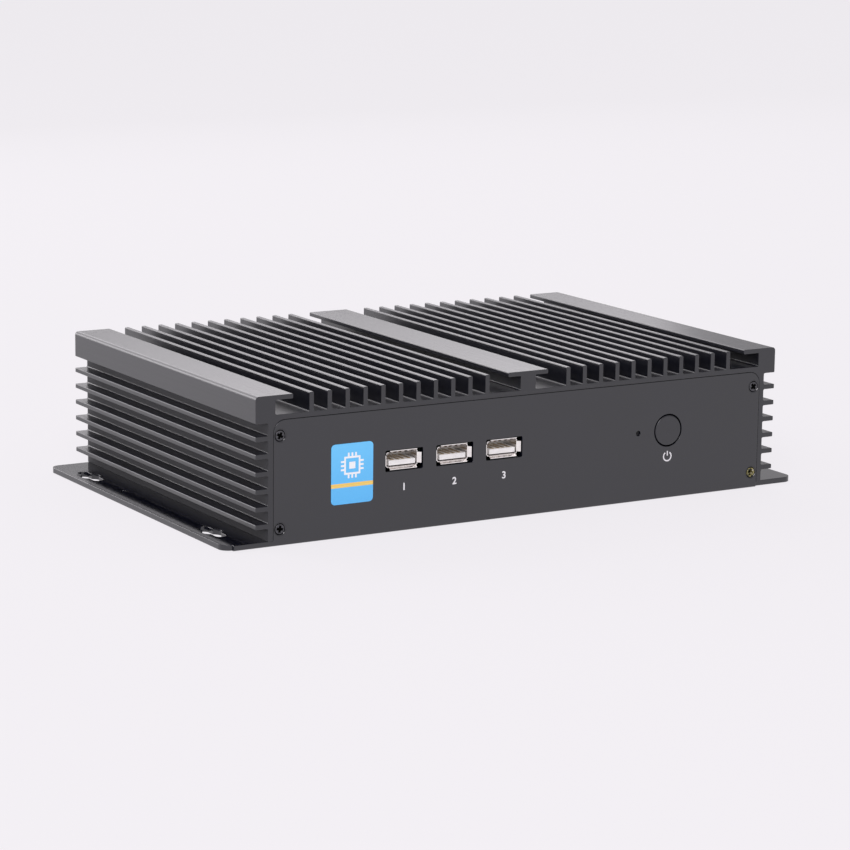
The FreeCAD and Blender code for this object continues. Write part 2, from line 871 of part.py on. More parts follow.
def front_board_studs():
    """Threaded studs clinched into the back of the front panel."""
    studs = []
    for x, z in stud_places():
        stud = rod_y(x, z, stud_radius, front + sheet, front_board_face)
        studs.append(stud.cut(rod_y(x, z, stud_bore_radius, front_board_face - board_screw_length,
                                    front_board_face)))
    return group(studs)


def front_board_screws():
    screws = []
    for x, z in stud_places():
        steps = [
            (front_board_back - board_screw_length, screw_radius),
            (front_board_back, screw_radius),
            (front_board_back, pan_head_radius),
            (front_board_back + pan_head_height, pan_head_radius),
        ]
        screws.append(turned_y(x, z, steps))
    return screws


def link_places():
    """Places (x, z) of the pins that join the two boards."""
    first = link_offset - (link_pins - 1) * link_pitch / 2.0
    return [
        (first + i * link_pitch, link_level + side * link_pitch / 2.0)
        for i in range(link_pins) for side in (-1, 1)
    ]


def link_width():
    return link_pins * link_pitch + 2 * link_end_wall


def link_socket():
    body = slab(link_offset, link_level, link_width(), link_height, front_board_back, link_socket_end)
    start = front_board_back + link_gap
    holes = [slab(x, z, link_hole_width, link_hole_width, start, link_socket_end) for x, z in link_places()]
    return body.cut(group(holes))


def link_header():
    end = board_front + link_header_depth
    body = slab(link_offset, link_level, link_width(), link_height, board_front, end)
    holes = [slab(x, z, link_pin_width, link_pin_width, board_front, end) for x, z in link_places()]
    return body.cut(group(holes))


def link_header_pins():
    start = front_board_back + 2 * link_gap
    end = board_front + link_header_depth
    return group([slab(x, z, link_pin_width, link_pin_width, start, end) for x, z in link_places()])


# --- main board ------------------------------------------------------------------------------------
def standoff_places():
    """Three places along each side edge of the main board."""
    first = board_front + standoff_front_inset
    last = board_rear - standoff_rear_inset
    x = main_board_width / 2.0 - standoff_inset
    return [(side * x, y) for side in (-1, 1) for y in (first, (first + last) / 2.0, last)]


def block_screw_places():
    """One place near each corner of the heat block."""
    reach_x = heat_block_width / 2.0 - block_screw_inset
    reach_y = heat_block_depth / 2.0 - block_screw_inset
    middle = board_front + cpu_row
    return [(sx * reach_x, middle + sy * reach_y) for sx in (-1, 1) for sy in (-1, 1)]


def main_board():
    half = main_board_width / 2.0
    board = box(-half, half, board_front, board_rear, board_under, board_top)
    places = standoff_places() + block_screw_places()
    holes = [rod_z(x, y, screw_hole_radius, board_under, board_top) for x, y in places]
    return board.cut(group(holes)).fuse(ssd_post()).removeSplitter()


def board_standoffs():
    standoffs = []
    for x, y in standoff_places():
        post = hexagon_z(x, y, standoff_width, sheet, board_under)
        standoffs.append(post.cut(rod_z(x, y, stud_bore_radius, board_under - board_screw_length,
                                        board_under)))
    return group(standoffs)


def board_screws():
    """Pan-head screws of both boards."""
    screws = [pan_screw_z(x, y, board_top, 1, board_screw_length) for x, y in standoff_places()]
    return group(screws + front_board_screws())


def cpu_package():
    y = board_front + cpu_row
    carrier = chip(0, y, cpu_size, cpu_size, board_top, board_top + cpu_substrate)
    die_top = board_top + cpu_substrate + die_height
    return carrier.fuse(chip(0, y, die_width, die_depth, board_top + cpu_substrate, die_top)).removeSplitter()


def block_underside():
    return board_top + cpu_substrate + die_height + cpu_pad_thickness


def heat_block():
    """Aluminium block on four feet that carries the heat from the processor to the extrusion."""
    y = board_front + cpu_row
    low, high = block_underside(), ceiling - case_pad_thickness
    block = chip(0, y, heat_block_width, heat_block_depth, low, high)
    rim = [edge for edge in block.Edges if abs(edge.CenterOfMass.z - high) < same_point]
    block = block.makeChamfer(block_edge_chamfer, rim)
    places = block_screw_places()
    feet = [rod_z(x, foot_y, stud_radius, board_top, low) for x, foot_y in places]
    bores = [rod_z(x, foot_y, stud_bore_radius, board_top, low + block_screw_bite) for x, foot_y in places]
    return block.fuse(feet).removeSplitter().cut(group(bores))


def thermal_pads():
    """Soft pads under and over the heat block."""
    y = board_front + cpu_row
    low = block_underside()
    width = heat_block_width - 2 * block_edge_chamfer
    depth = heat_block_depth - 2 * block_edge_chamfer
    return group([
        chip(0, y, die_width, die_depth, low - cpu_pad_thickness, low),
        chip(0, y, width, depth, ceiling - case_pad_thickness, ceiling),
    ])


def block_screws():
    length = block_underside() + block_screw_bite - board_under - thread_clearance
    return group([pan_screw_z(x, y, board_under, -1, length) for x, y in block_screw_places()])


def memory_level():
    """Underside of the memory module."""
    return board_top + (memory_socket_height - memory_module_thickness) / 2.0


def memory_socket():
    """Socket with a slot along one side and two arms that hold the module's ends."""
    y = board_front + memory_row
    near = memory_offset
    half = memory_socket_length / 2.0
    top = board_top + memory_socket_height
    body = box(near, near + memory_socket_width, y - half, y + half, board_top, top)
    arm_inside = memory_module_length / 2.0 + insert_gap
    arms = [
        box(near + memory_socket_width, near + memory_module_width,
            min(y + side * arm_inside, y + side * half), max(y + side * arm_inside, y + side * half),
            board_top, top)
        for side in (-1, 1)
    ]
    level = memory_level()
    slot = box(near + memory_socket_width - memory_slot_bite, near + memory_socket_width,
               y - arm_inside, y + arm_inside,
               level - insert_gap, level + memory_module_thickness + insert_gap)
    return body.fuse(arms).removeSplitter().cut(slot)


def memory_module():
    y = board_front + memory_row
    start = memory_offset + memory_socket_width - memory_slot_bite + insert_gap
    level = memory_level()
    half = memory_module_length / 2.0
    top = level + memory_module_thickness
    board = box(start, start + memory_module_width, y - half, y + half, level, top)
    first = y - (memory_chip_count - 1) * memory_chip_pitch / 2.0
    chips = [
        chip(start + memory_module_width / 2.0, first + i * memory_chip_pitch,
             memory_chip_length, memory_chip_width, top, top + memory_chip_height)
        for i in range(memory_chip_count)
    ]
    return board.fuse(chips).removeSplitter()


def ssd_levels():
    low = board_top + ssd_lift
    return low, low + ssd_thickness


def ssd_socket_start():
    return -main_board_width / 2.0 + ssd_side_inset


def ssd_ends():
    """Left and right end of the drive's board."""
    start = ssd_socket_start() + ssd_socket_depth - ssd_socket_bite
    return start, start + ssd_length


def ssd_socket():
    start = ssd_socket_start()
    end = start + ssd_socket_depth
    y = board_front + ssd_row
    body = chip((start + end) / 2.0, y, ssd_socket_depth, ssd_width, board_top, board_top + ssd_socket_height)
    low, high = ssd_levels()
    half = ssd_width / 2.0
    slot = box(ssd_ends()[0] - insert_gap, end, y - half, y + half, low - insert_gap, high + insert_gap)
    return body.cut(slot)


def ssd_module():
    """Solid-state drive: a narrow board with three chips and a half-round notch for its screw."""
    low, high = ssd_levels()
    start, end = ssd_ends()
    y = board_front + ssd_row
    half = ssd_width / 2.0
    board = box(start, end, y - half, y + half, low, high)
    pitch = ssd_length / (ssd_chip_count + 1)
    chips = [
        chip(start + (i + 1) * pitch, y, pitch * ssd_chip_share, ssd_width * ssd_chip_share,
             high, high + ssd_chip_height)
        for i in range(ssd_chip_count)
    ]
    notch = rod_z(end, y, ssd_notch_radius, low, high)
    return board.fuse(chips).removeSplitter().cut(notch)


def ssd_post():
    """Threaded post soldered to the board, for the drive's screw."""
    x, y = ssd_ends()[1], board_front + ssd_row
    post = rod_z(x, y, ssd_post_radius, board_top, ssd_levels()[0])
    return post.cut(rod_z(x, y, stud_bore_radius, board_top, ssd_levels()[0]))


def ssd_screw():
    x, y = ssd_ends()[1], board_front + ssd_row
    seat = ssd_levels()[1]
    head = rod_z(x, y, ssd_screw_head_radius, seat, seat + ssd_screw_head_height)
    return head.fuse(rod_z(x, y, screw_radius, board_top, seat)).removeSplitter()


def coin_place():
    return coin_offset, board_front + coin_row


def coin_cell_holder():
    x, y = coin_place()
    bore = coin_radius + coin_clearance
    top = board_top + coin_holder_height
    holder = rod_z(x, y, bore + coin_holder_wall, board_top, top)
    holder = holder.cut(rod_z(x, y, bore, board_top + coin_floor, top))
    finger_gap = box(x, x + bore + coin_holder_wall, y - coin_radius / 2.0, y + coin_radius / 2.0,
                     board_top + coin_floor, top)
    return holder.cut(finger_gap)


def coin_cell():
    x, y = coin_place()
    return rod_z(x, y, coin_radius, board_top + coin_floor, board_top + coin_floor + coin_thickness)


def column_places(count, pitch):
    """Places along Y of a column of like parts beside the heat block."""
    first = board_front + cpu_row - (count - 1) * pitch / 2.0
    return [first + i * pitch for i in range(count)]


def power_inductors():
    shapes = []
    for y in column_places(inductor_count, inductor_pitch):
        outline = rectangle(inductor_x, y, inductor_width, inductor_width, inductor_corner)
        shapes.append(plate_z(outline, board_top, board_top + inductor_height))
    return group(shapes)


def bulk_capacitors():
    """Cans on square bases, in a column beside the coils."""
    shapes = []
    for y in column_places(capacitor_count, capacitor_pitch):
        base_top = board_top + capacitor_base
        base = chip(capacitor_x, y, 2 * capacitor_radius, 2 * capacitor_radius, board_top, base_top)
        can = rod_z(capacitor_x, y, capacitor_radius, base_top, board_top + capacitor_height)
        shapes.append(base.fuse(can).removeSplitter())
    return group(shapes)


def controller_chips():
    return group([
        chip(side * (main_board_width / 2.0 - inset), board_front + row, width, width,
             board_top, board_top + chip_height)
        for side, inset, row, width in controller_sites
    ])


# --- rear sockets ----------------------------------------------------------------------------------
def rear_places():
    """Middle of each rear socket, in a row centred on the case."""
    edge = -rear_row_width / 2.0
    places = {}
    for name, width in rear_order:
        places[name] = edge + width / 2.0
        edge += width + connector_gap
    return places


def socket_window(x, width, height):
    """Window in the rear panel round a socket that stands on the main board."""
    return window(x, board_top + height / 2.0, width + 2 * cutout_gap, height + 2 * cutout_gap,
                  cutout_corner_radius, back - sheet, back)


def dc_jack(x):
    mouth = back + socket_proud
    z = board_top + power_height / 2.0
    floor = mouth - power_bore_depth
    body = slab(x, z, power_width, power_height, mouth - power_depth, mouth)
    body = body.cut(rod_y(x, z, power_bore_radius, floor, mouth))
    pin = rod_y(x, z, power_pin_radius, floor, mouth - power_pin_gap)
    return body, pin


def dsub_outline(x, grow):
    """D outline of a shell, wider at the top, grown by a margin."""
    z = board_top + dsub_height / 2.0
    top = dsub_shell_width / 2.0 + grow
    half_height = dsub_shell_height / 2.0 + grow
    bottom = top - 2 * half_height * math.tan(dsub_slope)
    radius = dsub_corner_radius + grow
    return [
        (x - bottom, z - half_height, radius),
        (x + bottom, z - half_height, radius),
        (x + top, z + half_height, radius),
        (x - top, z + half_height, radius),
    ]


def post_places(x):
    z = board_top + dsub_height / 2.0
    return [(x - dsub_post_spacing / 2.0, z), (x + dsub_post_spacing / 2.0, z)]


def dsub_shell(x):
    """Plated flange behind the rear panel with a D-shaped tube that stands out through it."""
    flange_back = back - sheet
    flange_front = flange_back - dsub_flange
    flange = slab(x, board_top + dsub_height / 2.0, dsub_width, dsub_height, flange_front, flange_back)
    tube = profile_y(dsub_outline(x, 0), flange_front, back + socket_reach)
    hollow = profile_y(dsub_outline(x, -shell_wall), flange_front, back + socket_reach)
    cuts = [hollow]
    cuts += [rod_y(px, pz, dsub_post_shank_radius + thread_clearance, flange_front, flange_back)
             for px, pz in post_places(x)]
    return flange.fuse(tube).removeSplitter().cut(group(cuts))


def dsub_body(x, face):
    """Moulded body behind the flange, with a core that fills the shell up to the given face."""
    flange_front = back - sheet - dsub_flange
    body = slab(x, board_top + dsub_height / 2.0, dsub_width, dsub_height,
                flange_front - dsub_body_depth, flange_front)
    core = profile_y(dsub_outline(x, -shell_wall - insert_gap), flange_front, face)
    return body.fuse(core).removeSplitter()


def com_pin_places(x):
    """Nine pins in two rows, the longer row above."""
    z = board_top + dsub_height / 2.0
    return [
        (x + (i - (count - 1) / 2.0) * com_pin_pitch, z + side * com_row_pitch / 2.0)
        for count, side in ((5, 1), (4, -1)) for i in range(count)
    ]


def com_floor():
    return back - sheet + com_cup_floor


def com_pins(x):
    end = back + socket_reach - com_pin_recess
    return group([rod_y(px, pz, pin_radius, com_floor(), end) for px, pz in com_pin_places(x)])


def vga_body(x):
    """Body with fifteen contact holes in three rows."""
    face = back + socket_reach - vga_face_recess
    z = board_top + dsub_height / 2.0
    holes = [
        rod_y(x + (i - 2) * vga_pin_pitch + shift * vga_pin_pitch / 4.0, z + row * vga_row_pitch,
              pin_radius, face - vga_hole_depth, face)
        for row, shift in ((1, 1), (0, -1), (-1, 1)) for i in range(5)
    ]
    return dsub_body(x, face).cut(group(holes))


def jack_posts(centres):
    """Hexagonal threaded posts on both sides of each D-shaped socket."""
    posts = []
    for centre in centres:
        for x, z in post_places(centre):
            post = hexagon_z(x, -z, 2 * dsub_post_radius, back, back + dsub_post_length)
            post.rotate(Vector(0, 0, 0), Vector(1, 0, 0), -90)
            shank = rod_y(x, z, dsub_post_shank_radius, back - sheet - dsub_flange, back)
            end = back + dsub_post_length
            bore = rod_y(x, z, dsub_post_bore_radius, end - dsub_post_bore_depth, end)
            posts.append(post.fuse(shank).removeSplitter().cut(bore))
    return group(posts)


def hdmi_outline(x, grow):
    z = board_top + hdmi_height / 2.0
    half_w, half_h = hdmi_width / 2.0 + grow, hdmi_height / 2.0 + grow
    slant = hdmi_chamfer
    return [
        (x - half_w, z + half_h, 0),
        (x - half_w, z - half_h + slant, 0),
        (x - half_w + slant, z - half_h, 0),
        (x + half_w - slant, z - half_h, 0),
        (x + half_w, z - half_h + slant, 0),
        (x + half_w, z + half_h, 0),
    ]


def hdmi(x):
    mouth = back + socket_proud
    rear = mouth - hdmi_depth
    shell = profile_y(hdmi_outline(x, 0), rear, mouth)
    shell = shell.cut(profile_y(hdmi_outline(x, -shell_wall), rear, mouth))
    z = board_top + hdmi_height / 2.0
    block_end = rear + insulator_depth
    block = profile_y(hdmi_outline(x, -shell_wall - insert_gap), rear, block_end)
    tongue = slab(x, z, hdmi_tongue_width, hdmi_tongue_thickness, block_end, mouth - tongue_recess)
    return shell, block.fuse(tongue).removeSplitter()


def usb_stack(x):
    """Two sockets, one above the other, in one plated shell."""
    mouth = back + socket_proud
    rear = mouth - stack_depth
    middle = board_top + stack_height / 2.0
    lining_end = mouth - shell_wall
    shell = slab(x, middle, stack_width, stack_height, rear, mouth)
    shell = shell.cut(slab(x, middle, stack_width - 2 * shell_wall, stack_height - 2 * shell_wall,
                           rear, lining_end))
    fit = 2 * (shell_wall + insert_gap)
    lining = slab(x, middle, stack_width - fit, stack_height - fit, rear, lining_end)
    hollows, tongues = [], []
    for side in (-1, 1):
        z = middle + side * stack_port_pitch / 2.0
        floor = mouth - stack_port_depth
        hollows.append(slab(x, z, stack_port_width, stack_port_height, floor, mouth))
        high = z + stack_port_height / 2.0 - tongue_edge_gap
        tongues.append(box(x - tongue_width / 2.0, x + tongue_width / 2.0, floor, mouth - tongue_recess,
                           high - tongue_thickness, high))
    openings = group(hollows)
    return shell.cut(openings), lining.cut(openings).fuse(tongues).removeSplitter()


def lan_jack(x):
    """Screened network socket: a thin metal wrap round a moulded body with a latch notch."""
    mouth = back + socket_proud
    rear = mouth - lan_depth
    middle = board_top + lan_height / 2.0
    shield = slab(x, middle, lan_width, lan_height, rear, mouth)
    inside = 2 * lan_wall
    shield = shield.cut(slab(x, middle, lan_width - inside, lan_height - inside, rear, mouth))
    fit = 2 * (lan_wall + insert_gap)
    body = slab(x, middle, lan_width - fit, lan_height - fit, rear, mouth)
    floor = mouth - lan_cavity_depth
    low = board_top + lan_cavity_low
    half = lan_cavity_width / 2.0
    cavity = box(x - half, x + half, floor, mouth, low, low + lan_cavity_height)
    latch = lan_latch_width / 2.0
    notch = box(x - latch, x + latch, floor, mouth, low - lan_latch_height, low)
    return shield, body.cut(group([cavity, notch]))


def audio_jack(x):
    z = board_top + audio_width / 2.0
    body_face = back - sheet - cutout_gap
    mouth = back + socket_proud
    body = slab(x, z, audio_width, audio_width, body_face - audio_depth, body_face)
    jack = body.fuse(rod_y(x, z, audio_barrel_radius, body_face, mouth)).removeSplitter()
    return jack.cut(rod_y(x, z, audio_bore_radius, mouth - audio_bore_depth, mouth))


def plug_places():
    return [(side * plug_spread / 2.0, plug_height) for side in (-1, 1)]


def aerial_plugs():
    """Moulded plugs that close the two aerial holes."""
    plugs = []
    for x, z in plug_places():
        steps = [
            (back - plug_length, plug_radius),
            (back, plug_radius),
            (back, plug_head_radius),
            (back + plug_head_height, plug_head_radius),
        ]
        plugs.append(turned_y(x, z, steps))
    return group(plugs)


def rear_cutouts(places):
    """Every window and hole that the rear panel has for the sockets and plugs."""
    cutouts = [
        socket_window(places["power"], power_width, power_height),
        socket_window(places["hdmi"], hdmi_width, hdmi_height),
    ]
    for name in ("stack_left", "stack_right"):
        cutouts.append(socket_window(places[name], stack_width, stack_height))
    for name in ("lan_left", "lan_right"):
        cutouts.append(socket_window(places[name], lan_width, lan_height))
    for name in ("mic", "line"):
        cutouts.append(rod_y(places[name], board_top + audio_width / 2.0,
                             audio_barrel_radius + cutout_gap, back - sheet, back))
    for name in ("vga", "com"):
        cutouts.append(profile_y(dsub_outline(places[name], cutout_gap), back - sheet, back))
        cutouts += [rod_y(x, z, dsub_post_hole_radius, back - sheet, back)
                    for x, z in post_places(places[name])]
    cutouts += [rod_y(x, z, plug_radius + insert_gap, back - sheet, back) for x, z in plug_places()]
    return cutouts


# --- all parts -------------------------------------------------------------------------------------
def build():
    """Every sub-part, by the name of its file."""
    places = rear_places()
    front_screws = [panel_screw(x, z, front, 1) for x, z in port_places]
    rear_screws = [panel_screw(x, z, back, -1) for x, z in port_places]
    odd_screw = port_places.index((port_x, port_low))
    parts = {
        "heatsink_housing": heatsink_housing(),
        "base_tray": base_tray(),
        "rear_panel": rear_panel(rear_cutouts(places)),
        "front_screw_zinc": front_screws.pop(odd_screw),
        "panel_screws_black": group(front_screws + rear_screws),
        "lip_screws": group([lip_screw(x) for x in lip_screw_places()]),
        "label_sticker": label_sticker(),
        "usb_contacts": usb_contacts(),
        "power_button_cap": power_button_cap(),
        "button_guide": button_guide(),
        "switch_body": switch_body(),
        "switch_actuator": switch_actuator(),
        "return_spring": return_spring(),
        "led_light_guide": led_light_guide(),
        "status_led": status_led(),
        "front_board": front_board(),
        "front_board_studs": front_board_studs(),
        "link_socket": link_socket(),
        "link_header": link_header(),
        "link_header_pins": link_header_pins(),
        "main_board": main_board(),
        "board_standoffs": board_standoffs(),
        "board_screws": board_screws(),
        "cpu_package": cpu_package(),
        "thermal_pads": thermal_pads(),
        "heat_block": heat_block(),
        "block_screws": block_screws(),
        "memory_socket": memory_socket(),
        "memory_module": memory_module(),
        "ssd_socket": ssd_socket(),
        "ssd_module": ssd_module(),
        "ssd_screw": ssd_screw(),
        "coin_cell_holder": coin_cell_holder(),
        "coin_cell": coin_cell(),
        "power_inductors": power_inductors(),
        "bulk_capacitors": bulk_capacitors(),
        "controller_chips": controller_chips(),
        "vga_shell": dsub_shell(places["vga"]),
        "vga_body": vga_body(places["vga"]),
        "com_shell": dsub_shell(places["com"]),
        "com_body": dsub_body(places["com"], com_floor()),
        "com_pins": com_pins(places["com"]),
        "jack_posts": jack_posts([places["vga"], places["com"]]),
        "audio_jacks": group([audio_jack(places[name]) for name in ("mic", "line")]),
        "aerial_plugs": aerial_plugs(),
    }
    for name, x in zip(usb_names, usb_centres):
        parts["usb_shell_" + name] = usb_shell(x)
        parts["usb_tongue_" + name] = usb_tongue(x)
    parts["dc_jack_body"], parts["dc_jack_pin"] = dc_jack(places["power"])
    parts["hdmi_shell"], parts["hdmi_tongue"] = hdmi(places["hdmi"])
    stacks = [usb_stack(places["stack_" + side]) for side in ("left", "right")]
    parts["usb_stack_shells"] = group([shell for shell, lining in stacks])
    parts["usb_stack_linings"] = group([lining for shell, lining in stacks])
    jacks = [lan_jack(places["lan_" + side]) for side in ("left", "right")]
    parts["lan_shields"] = group([shield for shield, body in jacks])
    parts["lan_bodies"] = group([body for shield, body in jacks])
    return parts


os.makedirs("parts", exist_ok=True)
for part_name, part_shape in build().items():
    solids = part_shape.Solids
    print(part_name, len(solids), "solids", round(part_shape.Volume), "cubic mm")
    part_shape.exportStep("parts/" + part_name + ".step")
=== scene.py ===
# %% [markdown]
# # A fanless industrial computer, dressed for a catalogue
# The case is a finned aluminium extrusion on a folded steel tray, and it has no fan: the case is its
# own cooler. All the metalwork arrives as a finished frame. This lesson adds what a machinist's
# drawing leaves out: anodising, coating, plating, moulded plastic, print, and the small contacts
# in the sockets.

# %% Load the frame
import json
import math

import bmesh
import bpy
from mathutils import Matrix, Vector


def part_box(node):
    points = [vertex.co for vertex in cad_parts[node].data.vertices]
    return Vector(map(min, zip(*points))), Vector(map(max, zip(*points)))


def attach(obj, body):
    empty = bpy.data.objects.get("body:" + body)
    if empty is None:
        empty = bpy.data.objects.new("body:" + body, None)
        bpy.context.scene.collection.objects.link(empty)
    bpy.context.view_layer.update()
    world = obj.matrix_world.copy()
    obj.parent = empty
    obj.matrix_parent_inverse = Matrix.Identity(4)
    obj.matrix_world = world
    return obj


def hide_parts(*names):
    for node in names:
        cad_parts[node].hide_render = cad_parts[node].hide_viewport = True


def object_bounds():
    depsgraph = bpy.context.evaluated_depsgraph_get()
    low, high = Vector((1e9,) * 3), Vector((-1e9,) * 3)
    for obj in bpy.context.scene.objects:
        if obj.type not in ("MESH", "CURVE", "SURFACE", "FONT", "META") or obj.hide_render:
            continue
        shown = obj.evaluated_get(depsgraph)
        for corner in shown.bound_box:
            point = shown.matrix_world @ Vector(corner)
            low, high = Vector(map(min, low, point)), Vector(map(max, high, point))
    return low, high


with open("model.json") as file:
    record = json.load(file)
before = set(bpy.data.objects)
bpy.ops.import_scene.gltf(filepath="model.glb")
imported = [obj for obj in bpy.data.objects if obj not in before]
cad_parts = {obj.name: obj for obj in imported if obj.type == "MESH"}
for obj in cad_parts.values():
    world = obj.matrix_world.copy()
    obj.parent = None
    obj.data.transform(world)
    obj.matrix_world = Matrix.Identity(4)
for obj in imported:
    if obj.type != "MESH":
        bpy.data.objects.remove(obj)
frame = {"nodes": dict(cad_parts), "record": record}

cad_box = [list(corner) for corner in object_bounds()]
MM = 0.001
print("nodes:", len(frame["nodes"]), "box:", cad_box)

# %% [markdown]
# ## Small tools for finishes
# Every finish below is a Principled surface whose colour, gloss or relief comes from noise. Short
# helpers keep each recipe readable: one starts a finish, one makes noise at a real grain size, one
# spreads that noise between two values, and others turn it into colour or relief. The noise is read in
# object coordinates, which are metres here, so a grain of 0.3 mm stays 0.3 mm on every piece.

# %% Tools for finishes
finishes = {}


def start_finish(name, colour, roughness, metallic=0.0, index=1.5):
    """A new finish with a plain Principled surface: its node tree and that surface."""
    finish = bpy.data.materials.new(name)
    finish.use_nodes = True
    tree = finish.node_tree
    surface = tree.nodes["Principled BSDF"]
    surface.inputs["Base Color"].default_value = (*colour, 1.0)
    surface.inputs["Roughness"].default_value = roughness
    surface.inputs["Metallic"].default_value = metallic
    surface.inputs["IOR"].default_value = index
    finishes[name] = finish
    return tree, surface


def grain(tree, size, along=(1.0, 1.0, 1.0), detail=3.0):
    """Noise whose spots measure about size metres, longer by the given factors along X, Y and Z."""
    place = tree.nodes.new("ShaderNodeTexCoord")
    stretch = tree.nodes.new("ShaderNodeMapping")
    stretch.inputs["Scale"].default_value = [1.0 / (size * factor) for factor in along]
    noise = tree.nodes.new("ShaderNodeTexNoise")
    noise.inputs["Scale"].default_value = 1.0
    noise.inputs["Detail"].default_value = detail
    tree.links.new(place.outputs["Object"], stretch.inputs["Vector"])
    tree.links.new(stretch.outputs["Vector"], noise.inputs["Vector"])
    return noise.outputs["Fac"]


def spread(tree, amount, low, high):
    """A number that runs from low to high as the noise goes from its usual dark to its usual light."""
    ramp = tree.nodes.new("ShaderNodeMapRange")
    ramp.inputs["From Min"].default_value = 0.3
    ramp.inputs["From Max"].default_value = 0.7
    ramp.inputs["To Min"].default_value = low
    ramp.inputs["To Max"].default_value = high
    tree.links.new(amount, ramp.inputs["Value"])
    return ramp.outputs["Result"]


def tint(tree, surface, amount, dark, light):
    """The surface's colour, from dark to light with the amount."""
    mix = tree.nodes.new("ShaderNodeMix")
    mix.data_type = "RGBA"
    mix.inputs["A"].default_value = (*dark, 1.0)
    mix.inputs["B"].default_value = (*light, 1.0)
    tree.links.new(amount, mix.inputs["Factor"])
    tree.links.new(mix.outputs["Result"], surface.inputs["Base Color"])
    return mix


def relief(tree, surface, height, depth, edge=0.0):
    """Bumps of that depth in metres. An edge radius also rounds the shading of sharp corners."""
    bump = tree.nodes.new("ShaderNodeBump")
    bump.inputs["Distance"].default_value = depth
    tree.links.new(height, bump.inputs["Height"])
    if edge:
        bevel = tree.nodes.new("ShaderNodeBevel")
        bevel.samples = 6
        bevel.inputs["Radius"].default_value = edge
        tree.links.new(bevel.outputs["Normal"], bump.inputs["Normal"])
    tree.links.new(bump.outputs["Normal"], surface.inputs["Normal"])


def sums(tree, operation, first, second=0.0, third=None):
    """One Math node; each operand is a number or another node's output."""
    node = tree.nodes.new("ShaderNodeMath")
    node.operation = operation
    for socket, value in zip(node.inputs, (first, second, third)):
        if isinstance(value, bpy.types.NodeSocket):
            tree.links.new(value, socket)
        elif value is not None:
            socket.default_value = value
    return node.outputs["Value"]


def clamp(tree, value):
    """The number, held between 0 and 1."""
    return sums(tree, "MINIMUM", sums(tree, "MAXIMUM", value, 0.0), 1.0)


def along_axes(tree, source="Object"):
    """X, Y and Z of the place on the piece, or of the way its face looks if source is Normal."""
    place = tree.nodes.new("ShaderNodeTexCoord")
    axes = tree.nodes.new("ShaderNodeSeparateXYZ")
    tree.links.new(place.outputs[source], axes.inputs["Vector"])
    return axes.outputs


print("tools ready")

# %% [markdown]
# ## Black anodising on the extrusion
# The cooler is pushed through a die, blasted lightly and anodised black. The oxide is clear and the
# dye sits in it, so light glances off it as off a lacquer, while the die leaves faint lines that run
# the whole length of every fin. A noise stretched along Y gives those lines: it moves the gloss a
# little and the relief by a micron or two. A second, rounder noise is the cloudiness of the dye.
#
# One gloss for the whole cooler looks wrong in two places. The walls deep behind the side fins come out
# too shiny, and the flat tops not shiny enough. Two masks mend that, from the place on the piece
# and the way the face looks. They are chosen, and say nothing of how such a cooler is made.

# %% Anodised extrusion
DYE = (0.0035, 0.0040, 0.0095)
OXIDE_INDEX = 1.76
DIE_LINE = 0.35 * MM
CLOUD = 18.0 * MM
WALL_ROUGHNESS = 0.72
WALL_MARGIN = 1.0 * MM          # how deep behind the fin tips the walls begin
WALL_FADE = 2.0 * MM            # how far it takes until a wall is fully matt
WALL_FACING = 0.88              # flat walls only, so that the fillets at the fins' roots keep their gloss
TOP_GLOSS_GAIN = 0.12
TOP_SKIN = 0.1 * MM
fins_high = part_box("heatsink_housing")[1]


def groove_wall(tree):
    """1 on the upright wall behind the side fins, and 0 elsewhere."""
    spot, facing = along_axes(tree), along_axes(tree, "Normal")
    aside = sums(tree, "SUBTRACT", fins_high.x - WALL_MARGIN, sums(tree, "ABSOLUTE", spot["X"]))
    under = sums(tree, "SUBTRACT", fins_high.z - WALL_MARGIN, spot["Z"])
    depth = clamp(tree, sums(tree, "DIVIDE", aside, WALL_FADE))
    depth = sums(tree, "MULTIPLY", depth, sums(tree, "LESS_THAN", aside, under))
    wall = sums(tree, "GREATER_THAN", sums(tree, "ABSOLUTE", facing["X"]), WALL_FACING)
    return sums(tree, "MULTIPLY", depth, wall)


def highest_faces(tree):
    """1 on everything within a tenth of a millimetre of the top."""
    return sums(tree, "GREATER_THAN", along_axes(tree)["Z"], fins_high.z - TOP_SKIN)


def anodised_extrusion():
    tree, surface = start_finish("anodised_black", DYE, 0.34, index=OXIDE_INDEX)
    lines = grain(tree, DIE_LINE, along=(1.0, 400.0, 1.0))
    clouds = grain(tree, CLOUD)
    tint(tree, surface, spread(tree, clouds, 0.0, 1.0), [channel * 0.8 for channel in DYE], DYE)
    gloss = spread(tree, lines, 0.29, 0.36)
    rough = sums(tree, "MAXIMUM", gloss, sums(tree, "MULTIPLY", groove_wall(tree), WALL_ROUGHNESS))
    smoother = sums(tree, "MULTIPLY", highest_faces(tree), TOP_GLOSS_GAIN)
    tree.links.new(sums(tree, "SUBTRACT", rough, smoother), surface.inputs["Roughness"])
    relief(tree, surface, lines, 0.002 * MM, edge=0.25 * MM)


anodised_extrusion()
print("finishes:", list(finishes))

# %% [markdown]
# ## Satin coating on the steel tray and the rear panel
# The folded sheet is sprayed and baked. Such a coat is smooth to the touch, yet under a lamp it has
# the fine orange peel of paint that has flowed out. A soft noise of half a millimetre is the peel,
# and a slower one clouds the colour. The bevel on the sheared edges is the coat drawing round them.
# Behind the side fins the same mask as before keeps the coat matt.

# %% Coated sheet
PEEL = 0.5 * MM
COAT_CLOUD = 30.0 * MM
UPSTAND_ROUGHNESS = 0.95


